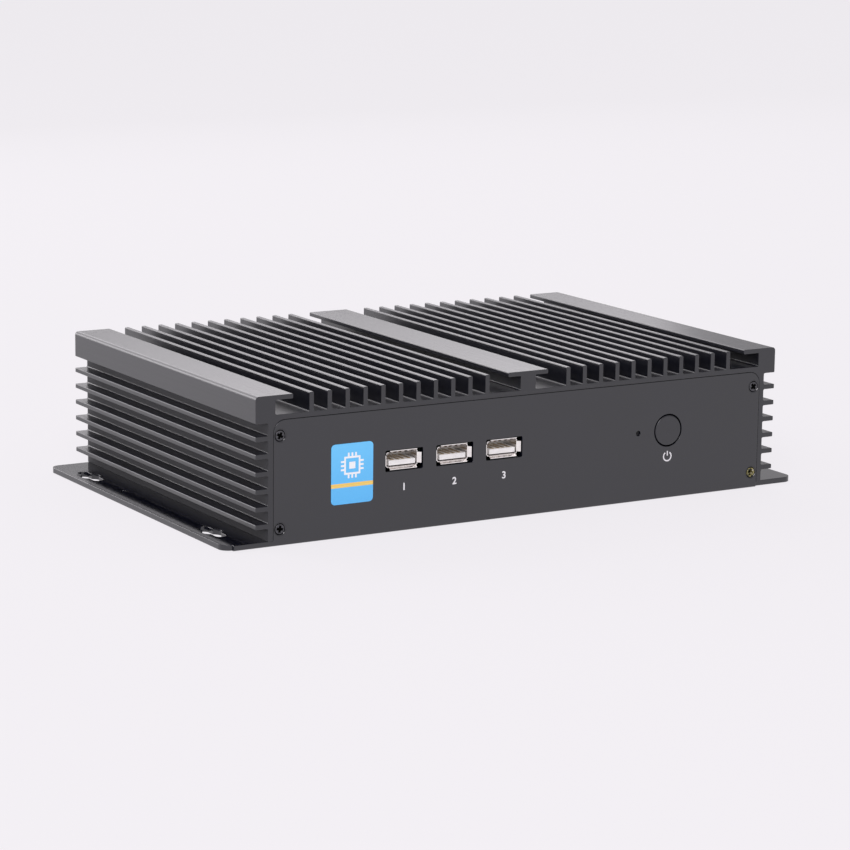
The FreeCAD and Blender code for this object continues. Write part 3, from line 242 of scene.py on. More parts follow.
def coated_sheet():
    tree, surface = start_finish("painted_black", DYE, 0.10, index=1.74)
    peel = grain(tree, PEEL)
    clouds = grain(tree, COAT_CLOUD)
    tint(tree, surface, spread(tree, clouds, 0.0, 1.0), [channel * 0.8 for channel in DYE], DYE)
    gloss = spread(tree, peel, 0.08, 0.12)
    upstand = sums(tree, "MULTIPLY", groove_wall(tree), UPSTAND_ROUGHNESS)
    tree.links.new(sums(tree, "MAXIMUM", gloss, upstand), surface.inputs["Roughness"])
    relief(tree, surface, peel, 0.0006 * MM, edge=0.3 * MM)


coated_sheet()
print("finishes:", list(finishes))

# %% [markdown]
# ## Screws
# The panel screws are black oxide, a thin oily skin on steel that shines at its edges. One of the
# corner screws has been changed for a yellow zinc one. Passivated zinc shows green and rose bands
# where its film is thinner, so its colour wanders between five tones. A third finish, close to black
# and without any gloss, is painted shade for the recesses and gaps that little light gets into.

# %% Screw finishes
ZINC_TONES = (
    (0.04, 0.04, 0.035), (0.16, 0.15, 0.09), (0.46, 0.41, 0.16), (0.20, 0.18, 0.12), (0.62, 0.58, 0.46)
)


def black_oxide():
    tree, surface = start_finish("screw_black", (0.03, 0.03, 0.032), 0.3, metallic=0.6)
    skin = grain(tree, 0.5 * MM)
    tint(tree, surface, spread(tree, skin, 0.0, 1.0), (0.045, 0.045, 0.05), (0.11, 0.11, 0.12))
    tree.links.new(spread(tree, skin, 0.25, 0.42), surface.inputs["Roughness"])
    relief(tree, surface, skin, 0.004 * MM, edge=0.12 * MM)


def yellow_zinc():
    tree, surface = start_finish("screw_zinc", (0.4, 0.33, 0.09), 0.34, metallic=1.0)
    film = grain(tree, 0.9 * MM, detail=5.0)
    bands = tree.nodes.new("ShaderNodeValToRGB")
    tones = bands.color_ramp
    tones.elements[0].position, tones.elements[0].color = 0.36, (*ZINC_TONES[0], 1.0)
    tones.elements[1].position, tones.elements[1].color = 0.64, (*ZINC_TONES[4], 1.0)
    for place, tone in zip((0.43, 0.50, 0.57), ZINC_TONES[1:4]):
        tones.elements.new(place).color = (*tone, 1.0)
    tree.links.new(film, bands.inputs["Fac"])
    tree.links.new(bands.outputs["Color"], surface.inputs["Base Color"])
    relief(tree, surface, film, 0.006 * MM, edge=0.12 * MM)


def bare_black():
    """Painted shade for the bottom of a recess or a gap: near-black, rough and out of the light."""
    tree, surface = start_finish("bare_black", (0.003, 0.003, 0.003), 0.9)
    surface.inputs["Specular IOR Level"].default_value = 0.0
    grit = grain(tree, 0.2 * MM)
    tint(tree, surface, spread(tree, grit, 0.0, 1.0), (0.002, 0.002, 0.002), (0.006, 0.006, 0.006))
    relief(tree, surface, grit, 0.01 * MM)


black_oxide()
yellow_zinc()
# bare_black is near-black painted shade for recesses and gaps.
bare_black()
print("finishes:", list(finishes))

# %% [markdown]
# ## Bright metals
# Socket shells are nickel over brass, the studs and posts are zinc-plated steel, the heat block is
# milled aluminium and the contacts have a flash of gold. They differ in tone and in the marks of
# their making, so one recipe serves: a metal, a mark of a given size, and a direction to stretch it.

# %% Bright metals
def bright_metal(name, dark, light, gloss, mark, along=(1.0, 1.0, 1.0), depth=0.002 * MM):
    """A metal with roughness around gloss and marks of that size, drawn out along an axis."""
    tree, surface = start_finish(name, light, gloss, metallic=1.0)
    marks = grain(tree, mark, along)
    tint(tree, surface, spread(tree, marks, 0.0, 1.0), dark, light)
    tree.links.new(spread(tree, marks, gloss * 0.8, gloss * 1.25), surface.inputs["Roughness"])
    relief(tree, surface, marks, depth, edge=0.06 * MM)


bright_metal("nickel", (0.84, 0.80, 0.78), (0.97, 0.94, 0.92), 0.14, 1.2 * MM, depth=0.002 * MM)
bright_metal("raw_steel", (0.42, 0.43, 0.45), (0.60, 0.61, 0.62), 0.30, 0.4 * MM)
bright_metal("raw_aluminium", (0.60, 0.60, 0.61), (0.78, 0.78, 0.79), 0.34, 0.3 * MM, (30.0, 1.0, 1.0))
bright_metal("spring_steel", (0.40, 0.40, 0.41), (0.58, 0.58, 0.59), 0.26, 0.2 * MM)
bright_metal("gold_contact", (0.42, 0.31, 0.17), (0.66, 0.52, 0.33), 0.22, 0.3 * MM)
print("finishes:", list(finishes))

# %% [markdown]
# ## Moulded plastics
# A moulding takes the texture of its tool: a fine spark-eroded matt on sockets, a smoother skin on
# the white tongues. The dye also settles unevenly, which a slow noise shows. One recipe again, with
# a colour, a gloss and a texture size.

# %% Moulded plastics
def moulding(name, colour, gloss, texture=0.15 * MM, depth=0.004 * MM):
    """A plastic part in one colour, a little lighter and darker from place to place."""
    tree, surface = start_finish(name, colour, gloss)
    flow = grain(tree, 4.0 * MM)
    skin = grain(tree, texture)
    dark = [channel * 0.9 for channel in colour]
    light = [min(1.0, channel * 1.08) for channel in colour]
    tint(tree, surface, spread(tree, flow, 0.0, 1.0), dark, light)
    tree.links.new(spread(tree, skin, gloss - 0.05, gloss + 0.06), surface.inputs["Roughness"])
    relief(tree, surface, skin, depth, edge=0.08 * MM)
    return tree, surface


moulding("white_plastic", (0.88, 0.87, 0.85), 0.38)
moulding("black_plastic", (0.022, 0.022, 0.024), 0.45)
moulding("blue_plastic", (0.02, 0.10, 0.50), 0.40)
moulding("video_blue", (0.02, 0.08, 0.36), 0.42)
moulding("chip_black", (0.028, 0.028, 0.031), 0.55, texture=0.08 * MM)
moulding("pad_grey", (0.36, 0.42, 0.47), 0.8, texture=0.6 * MM, depth=0.02 * MM)
moulding("lamp", (0.80, 0.80, 0.66), 0.25)
print("finishes:", list(finishes))

# %% [markdown]
# ## The power button's cap
# The cap is turned and anodised with the same dye as the cooler, so it wants the same depth of
# black. A lathe leaves rings round its axis where the die left lines: a wave texture of rings about
# the button's own centre gives them.

# %% Turned cap
TURNING_MARK = 0.18 * MM
cap_low, cap_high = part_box("power_button_cap")
cap_centre = (cap_low + cap_high) / 2


def turned_cap():
    tree, surface = start_finish("button_black", DYE, 0.34, index=OXIDE_INDEX)
    place = tree.nodes.new("ShaderNodeTexCoord")
    centre = tree.nodes.new("ShaderNodeMapping")
    centre.inputs["Location"].default_value = -cap_centre
    rings = tree.nodes.new("ShaderNodeTexWave")
    rings.wave_type = "RINGS"
    rings.rings_direction = "Y"
    rings.inputs["Scale"].default_value = 1.0 / (TURNING_MARK * 2.0 * math.pi)
    rings.inputs["Distortion"].default_value = 0.0
    tree.links.new(place.outputs["Object"], centre.inputs["Vector"])
    tree.links.new(centre.outputs["Vector"], rings.inputs["Vector"])
    cloud = grain(tree, 3.0 * MM)
    tint(tree, surface, spread(tree, cloud, 0.0, 1.0), [channel * 0.8 for channel in DYE], DYE)
    relief(tree, surface, rings.outputs["Fac"], 0.001 * MM, edge=0.15 * MM)


turned_cap()
print("cap centre:", [round(value, 4) for value in cap_centre])

# %% [markdown]
# ## Boards and the smoked light guide
# The boards are green solder mask over copper: where a track runs below, the mask is lighter. A
# brick-like grid of thin bands, broken up by noise, reads as tracks. The light guide is smoked, so
# that it looks like a plain black dot until the lamp behind it is on. It still lets some light by.

# %% Boards and light guide
def solder_mask():
    tree, surface = start_finish("circuit_board", (0.01, 0.08, 0.04), 0.35)
    place = tree.nodes.new("ShaderNodeTexCoord")
    tracks = tree.nodes.new("ShaderNodeTexBrick")
    tracks.inputs["Scale"].default_value = 120.0
    tracks.inputs["Color1"].default_value = (0.006, 0.055, 0.028, 1.0)
    tracks.inputs["Color2"].default_value = (0.008, 0.070, 0.034, 1.0)
    tracks.inputs["Mortar"].default_value = (0.016, 0.115, 0.055, 1.0)
    tree.links.new(place.outputs["Object"], tracks.inputs["Vector"])
    tree.links.new(tracks.outputs["Color"], surface.inputs["Base Color"])
    relief(tree, surface, tracks.outputs["Fac"], 0.02 * MM)


def smoked_guide():
    tree, surface = start_finish("clear_plastic", (0.012, 0.012, 0.014), 0.12)
    surface.inputs["Transmission Weight"].default_value = 0.25
    surface.inputs["Specular IOR Level"].default_value = 0.12
    haze = grain(tree, 0.8 * MM)
    tree.links.new(spread(tree, haze, 0.3, 0.5), surface.inputs["Roughness"])


solder_mask()
smoked_guide()
print("finishes:", list(finishes))

# %% [markdown]
# ## The printed label
# The label is a glossy film with rounded corners: a sky-blue field, a straight amber band, and a
# plain white pictogram of a chip, which is a square with short legs. All of it is worked out from
# distances to the label's centre, so that it stays put at any size. Step functions with a soft edge
# of a few hundredths of a millimetre give a printed outline.

# %% Printed label
label_low, label_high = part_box("label_sticker")
label_centre = (label_low + label_high) / 2
label_size = label_high - label_low
BAND_HEIGHT = 1.5 * MM
BAND_DROP = 4.2 * MM            # band's middle below the label's
CHIP_RISE = 3.0 * MM            # pictogram's middle above the label's
CHIP_HALF = 3.0 * MM
CHIP_LINE = 0.7 * MM
LEG_REACH = 1.7 * MM
LEG_PITCH = 1.5 * MM
FIELD_LOW, FIELD_HIGH = (0.12, 0.53, 0.98), (0.16, 0.60, 1.0)
AMBER = (0.95, 0.64, 0.16)
LABEL_WHITE = (0.93, 0.95, 0.97)
PRINT_EDGE = 0.03 * MM


def inside(tree, distance, limit):
    """1 where the distance is under the limit and 0 past it, with a soft printed edge."""
    return sums(tree, "MULTIPLY_ADD", sums(tree, "SUBTRACT", limit, distance), 1.0 / PRINT_EDGE, 0.5)


def layer(tree, below, colour, mask):
    """The colour printed over what lies below, where the mask is 1."""
    mix = tree.nodes.new("ShaderNodeMix")
    mix.data_type = "RGBA"
    mix.inputs["B"].default_value = (*colour, 1.0)
    tree.links.new(below, mix.inputs["A"])
    tree.links.new(mask, mix.inputs["Factor"])
    return mix.outputs["Result"]


def chip_mask(tree, across, up):
    """White square outline with a solid core, and legs on all four sides."""
    span_x = sums(tree, "ABSOLUTE", across)
    span_z = sums(tree, "ABSOLUTE", up)
    square = sums(tree, "MAXIMUM", span_x, span_z)
    from_outline = sums(tree, "ABSOLUTE", sums(tree, "SUBTRACT", square, CHIP_HALF))
    outline = clamp(tree, inside(tree, from_outline, CHIP_LINE / 2))
    core = clamp(tree, inside(tree, square, CHIP_HALF * 0.42))
    reach = clamp(tree, inside(tree, square, CHIP_HALF + LEG_REACH))
    outside = clamp(tree, inside(tree, sums(tree, "MULTIPLY", square, -1.0), -CHIP_HALF))
    smaller = sums(tree, "MINIMUM", span_x, span_z)
    phase = sums(tree, "PINGPONG", smaller, LEG_PITCH / 2)
    legs = clamp(tree, inside(tree, phase, CHIP_LINE / 2))
    within = clamp(tree, inside(tree, smaller, CHIP_HALF * 0.85))
    legs = sums(tree, "MULTIPLY", legs, within)
    legs = sums(tree, "MULTIPLY", legs, sums(tree, "MULTIPLY", reach, outside))
    return sums(tree, "MAXIMUM", sums(tree, "MAXIMUM", outline, core), legs)


def printed_label():
    tree, surface = start_finish("label_print", (0.13, 0.5, 0.95), 0.22)
    spot = along_axes(tree)
    across = sums(tree, "SUBTRACT", spot["X"], label_centre.x)
    up = sums(tree, "SUBTRACT", spot["Z"], label_centre.z)
    fade = sums(tree, "MULTIPLY_ADD", up, 1.0 / label_size.z, 0.5)
    field = tint(tree, surface, fade, FIELD_LOW, FIELD_HIGH)
    band_distance = sums(tree, "ABSOLUTE", sums(tree, "ADD", up, BAND_DROP))
    band = clamp(tree, inside(tree, band_distance, BAND_HEIGHT / 2))
    picture = layer(tree, field.outputs["Result"], AMBER, band)
    chip = chip_mask(tree, across, sums(tree, "SUBTRACT", up, CHIP_RISE))
    picture = layer(tree, picture, LABEL_WHITE, chip)
    tree.links.new(picture, surface.inputs["Base Color"])
    relief(tree, surface, grain(tree, 2.0 * MM), 0.004 * MM, edge=0.1 * MM)


printed_label()
print("label size in mm:", [round(side / MM, 2) for side in label_size])

# %% [markdown]
# ## Giving each node its finish
# The record says which finish each node has, so the loop reads it there. The two audio sockets are
# one node in black plastic, but makers colour such sockets by use: rose for the microphone and lime
# for the line out. That is a third recipe, a step in X between the two.

# %% Audio sockets and the assignment of finishes
audio_low, audio_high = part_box("audio_jacks")
ROSE, LIME = (0.72, 0.18, 0.28), (0.25, 0.60, 0.14)


def audio_rings():
    tree, surface = moulding("audio_colours", (0.5, 0.5, 0.5), 0.42)
    right = sums(tree, "GREATER_THAN", along_axes(tree)["X"], (audio_low.x + audio_high.x) / 2)
    tint(tree, surface, right, ROSE, LIME)


audio_rings()
own_finish = {"audio_jacks": "audio_colours"}
slot_of = {row["node"]: row["material_slot"] for row in frame["record"]["subparts"]}
for name, node in frame["nodes"].items():
    finish = finishes[own_finish.get(name, slot_of[name])]
    node.data.materials.clear()
    node.data.materials.append(finish)
print("nodes dressed:", len(slot_of))

# %% [markdown]
# ## White print on the front
# The sockets are numbered and the button carries the on-and-off symbol, both silk-screened in white.
# Ink has almost no thickness, yet as a mesh of its own it stays crisp at any distance, so each mark
# is a flat shape given three hundredths of a millimetre of body. Digits come from Blender's own
# font. The symbol is a broken ring and a bar, built as one strip of quads and one rectangle.

# %% Print finish and placing
tray_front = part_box("base_tray")[0].y
INK = 0.03 * MM
PRINT_LEVEL = 16.4 * MM          # middle of the marks above the table
DIGIT_HEIGHT = 2.6 * MM
DIGIT_WEIGHT = 0.09 * MM         # how far each stroke is thickened to either side
CAPITAL_SHARE = 0.7              # a capital's height in that of the type


def screen_ink():
    tree, surface = start_finish("screen_ink", (0.86, 0.86, 0.87), 0.5)
    cover = grain(tree, 0.25 * MM)
    tint(tree, surface, spread(tree, cover, 0.0, 1.0), (0.80, 0.80, 0.81), (0.90, 0.90, 0.91))


def as_piece(name, mesh, finish, body="chassis"):
    """The mesh as a piece of the object, with its finish, riding on that body.

    A mesh without materials isn't cleared, because clearing forgets which finish each face has.
    """
    piece = bpy.data.objects.new(name, mesh)
    bpy.context.scene.collection.objects.link(piece)
    if mesh.materials:
        mesh.materials.clear()
    mesh.materials.append(finishes[finish])
    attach(piece, body)
    return piece


def from_shape(name, shape, finish, body="chassis"):
    """The same from a shape that is still being edited, with its faces turned outward."""
    bmesh.ops.recalc_face_normals(shape, faces=shape.faces[:])
    mesh = bpy.data.meshes.new(name)
    shape.to_mesh(mesh)
    shape.free()
    return as_piece(name, mesh, finish, body)


screen_ink()
print("front face at", round(tray_front / MM, 2), "mm")

# %% Port numbers
UPRIGHT = Matrix.Rotation(math.radians(90.0), 4, "X")


def printed_digit(name, digit, x):
    """One digit on the front face, centred at x."""
    letter = bpy.data.curves.new(name, "FONT")
    letter.body = digit
    letter.align_x = "CENTER"
    letter.align_y = "CENTER"
    letter.size = DIGIT_HEIGHT / CAPITAL_SHARE
    letter.extrude = INK / 2
    letter.offset = DIGIT_WEIGHT
    letter.resolution_u = 6
    holder = bpy.data.objects.new(name, letter)
    bpy.context.scene.collection.objects.link(holder)
    bpy.context.view_layer.update()
    shown = holder.evaluated_get(bpy.context.evaluated_depsgraph_get())
    mesh = bpy.data.meshes.new_from_object(shown)
    bpy.data.objects.remove(holder)
    mesh.transform(Matrix.Translation((x, tray_front - INK / 2, PRINT_LEVEL)) @ UPRIGHT)
    return as_piece(name, mesh, "screen_ink")


for digit, side in zip("123", ("left", "middle", "right")):
    low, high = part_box("usb_shell_" + side)
    piece = printed_digit("port_number_" + digit, digit, (low.x + high.x) / 2)
    print(piece.name, len(piece.data.polygons), "faces")

# %% On-and-off symbol
SYMBOL_RADIUS = 1.75 * MM
SYMBOL_LINE = 0.5 * MM
RING_OPENING = math.radians(35.0)
RING_STEPS = 40


def power_symbol():
    """A ring open at the top, with a bar in the opening."""
    shape = bmesh.new()
    rows = []
    for i in range(RING_STEPS + 1):
        turn = RING_OPENING + (2 * math.pi - 2 * RING_OPENING) * i / RING_STEPS
        rows.append([
            shape.verts.new((radius * math.sin(turn), 0.0, radius * math.cos(turn)))
            for radius in (SYMBOL_RADIUS - SYMBOL_LINE / 2, SYMBOL_RADIUS + SYMBOL_LINE / 2)
        ])
    for one, other in zip(rows, rows[1:]):
        shape.faces.new((one[0], one[1], other[1], other[0]))
    half, foot, head = SYMBOL_LINE / 2, SYMBOL_RADIUS * 0.15, SYMBOL_RADIUS * 1.2
    shape.faces.new([
        shape.verts.new(corner)
        for corner in ((-half, 0, foot), (half, 0, foot), (half, 0, head), (-half, 0, head))
    ])
    sheet = bmesh.ops.extrude_face_region(shape, geom=shape.faces[:])
    moved = [item for item in sheet["geom"] if isinstance(item, bmesh.types.BMVert)]
    bmesh.ops.translate(shape, verts=moved, vec=(0.0, -INK, 0.0))
    bmesh.ops.translate(shape, verts=shape.verts[:], vec=(cap_centre.x, tray_front, PRINT_LEVEL))
    return from_shape("power_symbol", shape, "screen_ink")


print("power symbol:", len(power_symbol().data.polygons), "faces")

# %% [markdown]
# ## Countersunk screws with a proper recess
# The frame's own screws are simpler. A real cross recess narrows as it goes down, the head sits a little
# below the face with a dark gap round it, and no two crosses stop at the same angle. Each screw here
# is one closed skin: a face between the cross and the rim, the tapering recess, and rings down the
# outside. They stand at the corners of the box of the frame's own screws, front and rear.
#
# The gap is shade painted on the screw itself, as a near-black band. It runs out over the edge of the
# panel's countersink, a few thousandths of a millimetre above the panel, and so also covers the
# highlight that edge would catch. So it is wider than a real gap. A head sunk deeper in the frame would
# be the better way. The recesses get the same painted shade: every bottom, and the walls of the black
# screws.

# %% Screws
HEAD_RADIUS = 2.2 * MM           # as in the frame
SEEN_RADIUS = 1.84 * MM          # inside the gap
HEAD_EDGE = 0.12 * MM            # width of the slope round the face
SUNK = 0.05 * MM
ARM_HALF = 0.5 * MM
ARM_REACH = 1.3 * MM
RECESS_DEPTH = 1.0 * MM
RECESS_TAPER = 0.5               # size of the bottom in that of the mouth
HEAD_STEPS = 40
# The second finish of a screw is bare_black, near-black painted shade.
OWN_FINISH, PAINTED_SHADE = 0, 1         # the two finishes of a screw
# Rings with finish 1 draw the gap round the head as a near-black band of painted shade.
SHANK_RINGS = (                  # radius and depth in mm, and the finish from the ring before
    (1.84, 0.10, 0), (1.84, 0.34, 1), (2.30, -0.06, 1), (2.60, -0.107, 1), (2.60, -0.09, 1),
    (1.95, 0.6, 1), (1.2, 1.2, 0), (1.2, 7.5, 0)
)


def cross_corners(reach, half):
    """The 12 corners of a cross, in order round it."""
    quarter = [(half, reach), (half, half), (reach, half)]
    corners = []
    for i in range(4):
        across, up = math.cos(i * math.pi / 2), math.sin(i * math.pi / 2)
        corners += [(x * across + z * up, -x * up + z * across) for x, z in quarter]
    return corners


def add_screw(shape, x, z, face, inward, turn, recess=PAINTED_SHADE):
    """One screw whose head looks away from the inward direction, with its cross turned."""
    across, up = math.cos(turn), math.sin(turn)

    def loop(points, depth):
        return [
            shape.verts.new((x + a * across + b * up, face + inward * depth, z - a * up + b * across))
            for a, b in points
        ]

    def ring(radius, depth):
        turns = [2 * math.pi * i / HEAD_STEPS for i in range(HEAD_STEPS)]
        return loop([(radius * math.sin(angle), radius * math.cos(angle)) for angle in turns], depth)

    def join(one, other, finish):
        for i in range(len(one)):
            shape.faces.new((one[i - 1], one[i], other[i], other[i - 1])).material_index = finish

    def edges(points):
        return [shape.edges.new((points[i - 1], points[i])) for i in range(len(points))]

    mouth = loop(cross_corners(ARM_REACH, ARM_HALF), 0.0)
    bottom = loop(cross_corners(ARM_REACH * RECESS_TAPER, ARM_HALF * RECESS_TAPER), RECESS_DEPTH)
    rim = ring(SEEN_RADIUS - HEAD_EDGE, 0.0)
    bmesh.ops.triangle_fill(shape, edges=edges(mouth) + edges(rim), use_beauty=True)
    # The recess walls of the black screws and every recess bottom are near-black painted shade.
    join(mouth, bottom, recess)
    shape.faces.new(bottom).material_index = PAINTED_SHADE
    above = rim
    for radius, depth, finish in SHANK_RINGS:
        below = ring(radius * MM, depth * MM)
        join(above, below, finish)
        above = below
    shape.faces.new(above)


def dressed_screws(name, places, finish, node):
    """One piece of several screws, which stands for the frame's node."""
    shape = bmesh.new()
    for place in places:
        add_screw(shape, *place)
    piece = from_shape(name, shape, finish)
    # The screw's second finish: near-black painted shade for its recess and the gap round it.
    piece.data.materials.append(finishes["bare_black"])
    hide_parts(node)
    return piece


screws_low, screws_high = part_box("panel_screws_black")
left, right = screws_low.x + HEAD_RADIUS, screws_high.x - HEAD_RADIUS
lower, upper = screws_low.z + HEAD_RADIUS, screws_high.z - HEAD_RADIUS
front, rear = screws_low.y + SUNK, screws_high.y - SUNK
black_places = [                 # x, z, face, inward, turn of the cross
    (left, upper, front, 1, 0.5), (left, lower, front, 1, 0.15), (right, upper, front, 1, 0.9),
    (left, upper, rear, -1, 0.3), (left, lower, rear, -1, 1.1), (right, upper, rear, -1, 0.7),
    (right, lower, rear, -1, 0.05),
]
dressed_screws("screw_heads_black", black_places, "screw_black", "panel_screws_black")
zinc_place = (right, lower, front, 1, 0.35, OWN_FINISH)
dressed_screws("screw_head_zinc", [zinc_place], "screw_zinc", "front_screw_zinc")
print("screws:", len(black_places) + 1)

# %% [markdown]
# ## The button's cap, a little proud
# The button is turned from bar. Its face has a rounded edge and stands just clear of the panel, with
# a dark gap all round. The profile is spun about Y: each pair is a radius and a distance behind the
# face. The collar behind the panel is what stops the cap from falling out.

# %% Button cap
CAP_PROUD = 0.25 * MM            # its face before the frame's cap
CAP_STEPS = 96
CAP_PROFILE = (                  # radius, distance behind the face, in mm
    (5.35, 0.0), (5.60, 0.04), (5.76, 0.14), (5.85, 0.32), (5.85, 1.65), (7.25, 1.65), (7.25, 2.85),
    (2.0, 2.85), (2.0, 8.45),
)


def spun_cap():
    """The cap, which stands for the frame's own and goes in with the button."""
    shape = bmesh.new()
    face = cap_low.y - CAP_PROUD
    rings = []
    for radius, behind in CAP_PROFILE:
        turns = [2 * math.pi * i / CAP_STEPS for i in range(CAP_STEPS)]
        rings.append([
            shape.verts.new((
                cap_centre.x + radius * MM * math.sin(turn), face + behind * MM,
                cap_centre.z + radius * MM * math.cos(turn),
            )) for turn in turns
        ])
    for one, other in zip(rings, rings[1:]):
        for i in range(CAP_STEPS):
            shape.faces.new((one[i - 1], one[i], other[i], other[i - 1])).smooth = True
    for cap_end in (rings[0], rings[-1]):
        shape.faces.new(cap_end)
    piece = from_shape("button_cap_turned", shape, "button_black", body="power_button")
    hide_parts("power_button_cap")
    return piece


print("cap:", len(spun_cap().data.polygons), "faces")

# %% [markdown]
# ## Contacts and lamp windows in the rear sockets
# A network socket has eight sprung wires that hang from its roof and lean back, with a pair of small
# lamp windows above the mouth. The USB tongues carry their contacts on the underside, and the HDMI
# tongue has a row on both faces. All are short bent strips, so one function bends a strip through a
# few points. The network sockets' places come from the openings in the record.

# %% Bent strips
def strip(shape, x, path, width, thickness):
    """A bent strip at x that follows (y, z) points."""
    loops = []
    for y, z in path:
        loops.append([
            shape.verts.new((x + side * width / 2, y, z + up * thickness / 2))
            for side, up in ((-1, -1), (1, -1), (1, 1), (-1, 1))
        ])
    for one, other in zip(loops, loops[1:]):
        for i in range(4):
            shape.faces.new((one[i - 1], one[i], other[i], other[i - 1]))
    shape.faces.new(loops[0])
    shape.faces.new(loops[-1])


def from_strips(name, finish, strips):
    """One piece of many strips."""
    shape = bmesh.new()
    for x, path, width, thickness in strips:
        strip(shape, x, path, width, thickness)
    print(name, len(strips), "strips")
    return from_shape(name, shape, finish)


print("strips ready")

# %% Network contacts
NETWORK_WIRES = 8
NETWORK_PITCH = 1.02 * MM
NETWORK_BEND = ((1.6, 0.15), (2.4, 0.2), (10.5, 3.0))    # mm in from the rear face, mm below the roof
mouths = [
    [Vector(corner) for corner in opening["box_m"]]
    for opening in frame["record"]["physics"]["openings"] if opening["name"].startswith("network")
]
bodies_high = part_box("lan_bodies")[1]
network_wires = []
for low, high in mouths:
    path = [(bodies_high.y - back * MM, high.z - drop * MM) for back, drop in NETWORK_BEND]
    for i in range(NETWORK_WIRES):
        x = (low.x + high.x) / 2 + (i - (NETWORK_WIRES - 1) / 2) * NETWORK_PITCH
        network_wires.append((x, path, 0.42 * MM, 0.18 * MM))
from_strips("network_contacts", "gold_contact", network_wires)

# %% USB contacts
SOCKET_HALF = 6.6 * MM           # half the width of a pair's shell
PORT_LEVEL = 3.8                 # mm from the pair's middle to each port's
UNDER_TONGUE = 0.31              # mm from the port's middle to its contacts
shells_low, shells_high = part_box("usb_stack_linings")
usb_wires = []
for x in (shells_low.x + SOCKET_HALF, shells_high.x - SOCKET_HALF):
    for level in (-1, 1):
        under = (shells_low.z + shells_high.z) / 2 + (level * PORT_LEVEL + UNDER_TONGUE) * MM
        path = [(shells_high.y - 1.3 * MM, under), (shells_high.y - 8.0 * MM, under)]
        for offset in (-3.5, -1.0, 1.0, 3.5):
            usb_wires.append((x + offset * MM, path, 1.0 * MM, 0.08 * MM))
from_strips("rear_usb_contacts", "gold_contact", usb_wires)

# %% HDMI contacts
HDMI_WIRES = 19                  # in turn above and below the tongue
HDMI_PITCH = 0.5
HDMI_LEVEL = 0.52
hdmi_low, hdmi_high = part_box("hdmi_tongue")
hdmi_wires = []
for i in range(HDMI_WIRES):
    level = (hdmi_low.z + hdmi_high.z) / 2 + (HDMI_LEVEL if i % 2 else -HDMI_LEVEL) * MM
    path = [(hdmi_high.y - 0.3 * MM, level), (hdmi_high.y - 6.0 * MM, level)]
    x = (hdmi_low.x + hdmi_high.x) / 2 + (i - HDMI_WIRES // 2) * HDMI_PITCH * MM
    hdmi_wires.append((x, path, 0.4 * MM, 0.06 * MM))
from_strips("hdmi_contacts", "gold_contact", hdmi_wires)

# %% Lamp windows
moulding("window_green", (0.16, 0.30, 0.10), 0.2)
moulding("window_amber", (0.50, 0.26, 0.05), 0.2)
WINDOW_OFFSET = 4.9 * MM
WINDOW_WIDTH = 2.6 * MM
WINDOW_HEIGHT = 1.1 * MM
WINDOW_RISE = 0.12 * MM
for finish, side in (("window_green", -1), ("window_amber", 1)):
    windows = []
    for low, high in mouths:
        level = (high.z + bodies_high.z) / 2 + WINDOW_RISE
        path = [(bodies_high.y - 0.5 * MM, level), (bodies_high.y + 0.04 * MM, level)]
        windows.append(((low.x + high.x) / 2 + side * WINDOW_OFFSET, path, WINDOW_WIDTH, WINDOW_HEIGHT))
    from_strips("network_" + finish, finish, windows)

# %% [markdown]
# ## Light and floor
# A plain studio: an even pale dome, one broad lamp behind and above that skims the tops of the fins,
# one behind on the left that lifts the side, and one before the object for its front. Black gloss is
# drawn by what it mirrors, so the lamps are large and soft. The floor has the backdrop's own colour and
# still takes the object's shadow. Seen from below it lets the eye through, so that the underside can be
# looked at.

# %% Dome
PALE = (0.871, 0.847, 0.880)
DOME_LEVEL = 0.60


def pale_dome():
    """An even light from all round, and a backdrop in its full colour for the eye alone."""
    world = bpy.data.worlds.new("studio")
    world.use_nodes = True
    bpy.context.scene.world = world
    tree = world.node_tree
    light = tree.nodes["Background"]
    light.inputs["Color"].default_value = (*PALE, 1.0)
    light.inputs["Strength"].default_value = DOME_LEVEL
    seen = tree.nodes.new("ShaderNodeBackground")
    seen.inputs["Color"].default_value = (*PALE, 1.0)
    ray = tree.nodes.new("ShaderNodeLightPath")
    choice = tree.nodes.new("ShaderNodeMixShader")
    tree.links.new(ray.outputs["Is Camera Ray"], choice.inputs["Fac"])
    tree.links.new(light.outputs["Background"], choice.inputs[1])
    tree.links.new(seen.outputs["Background"], choice.inputs[2])
    tree.links.new(choice.outputs["Shader"], tree.nodes["World Output"].inputs["Surface"])


pale_dome()
print("dome level:", DOME_LEVEL)

# %% Floor
FLOOR_HALF = 12.0
FLOOR_DROP = 0.2 * MM
OWN_GLOW = 0.88                 # share of the floor's colour that doesn't depend on the lamps
GLOW_LEVEL = 1.03


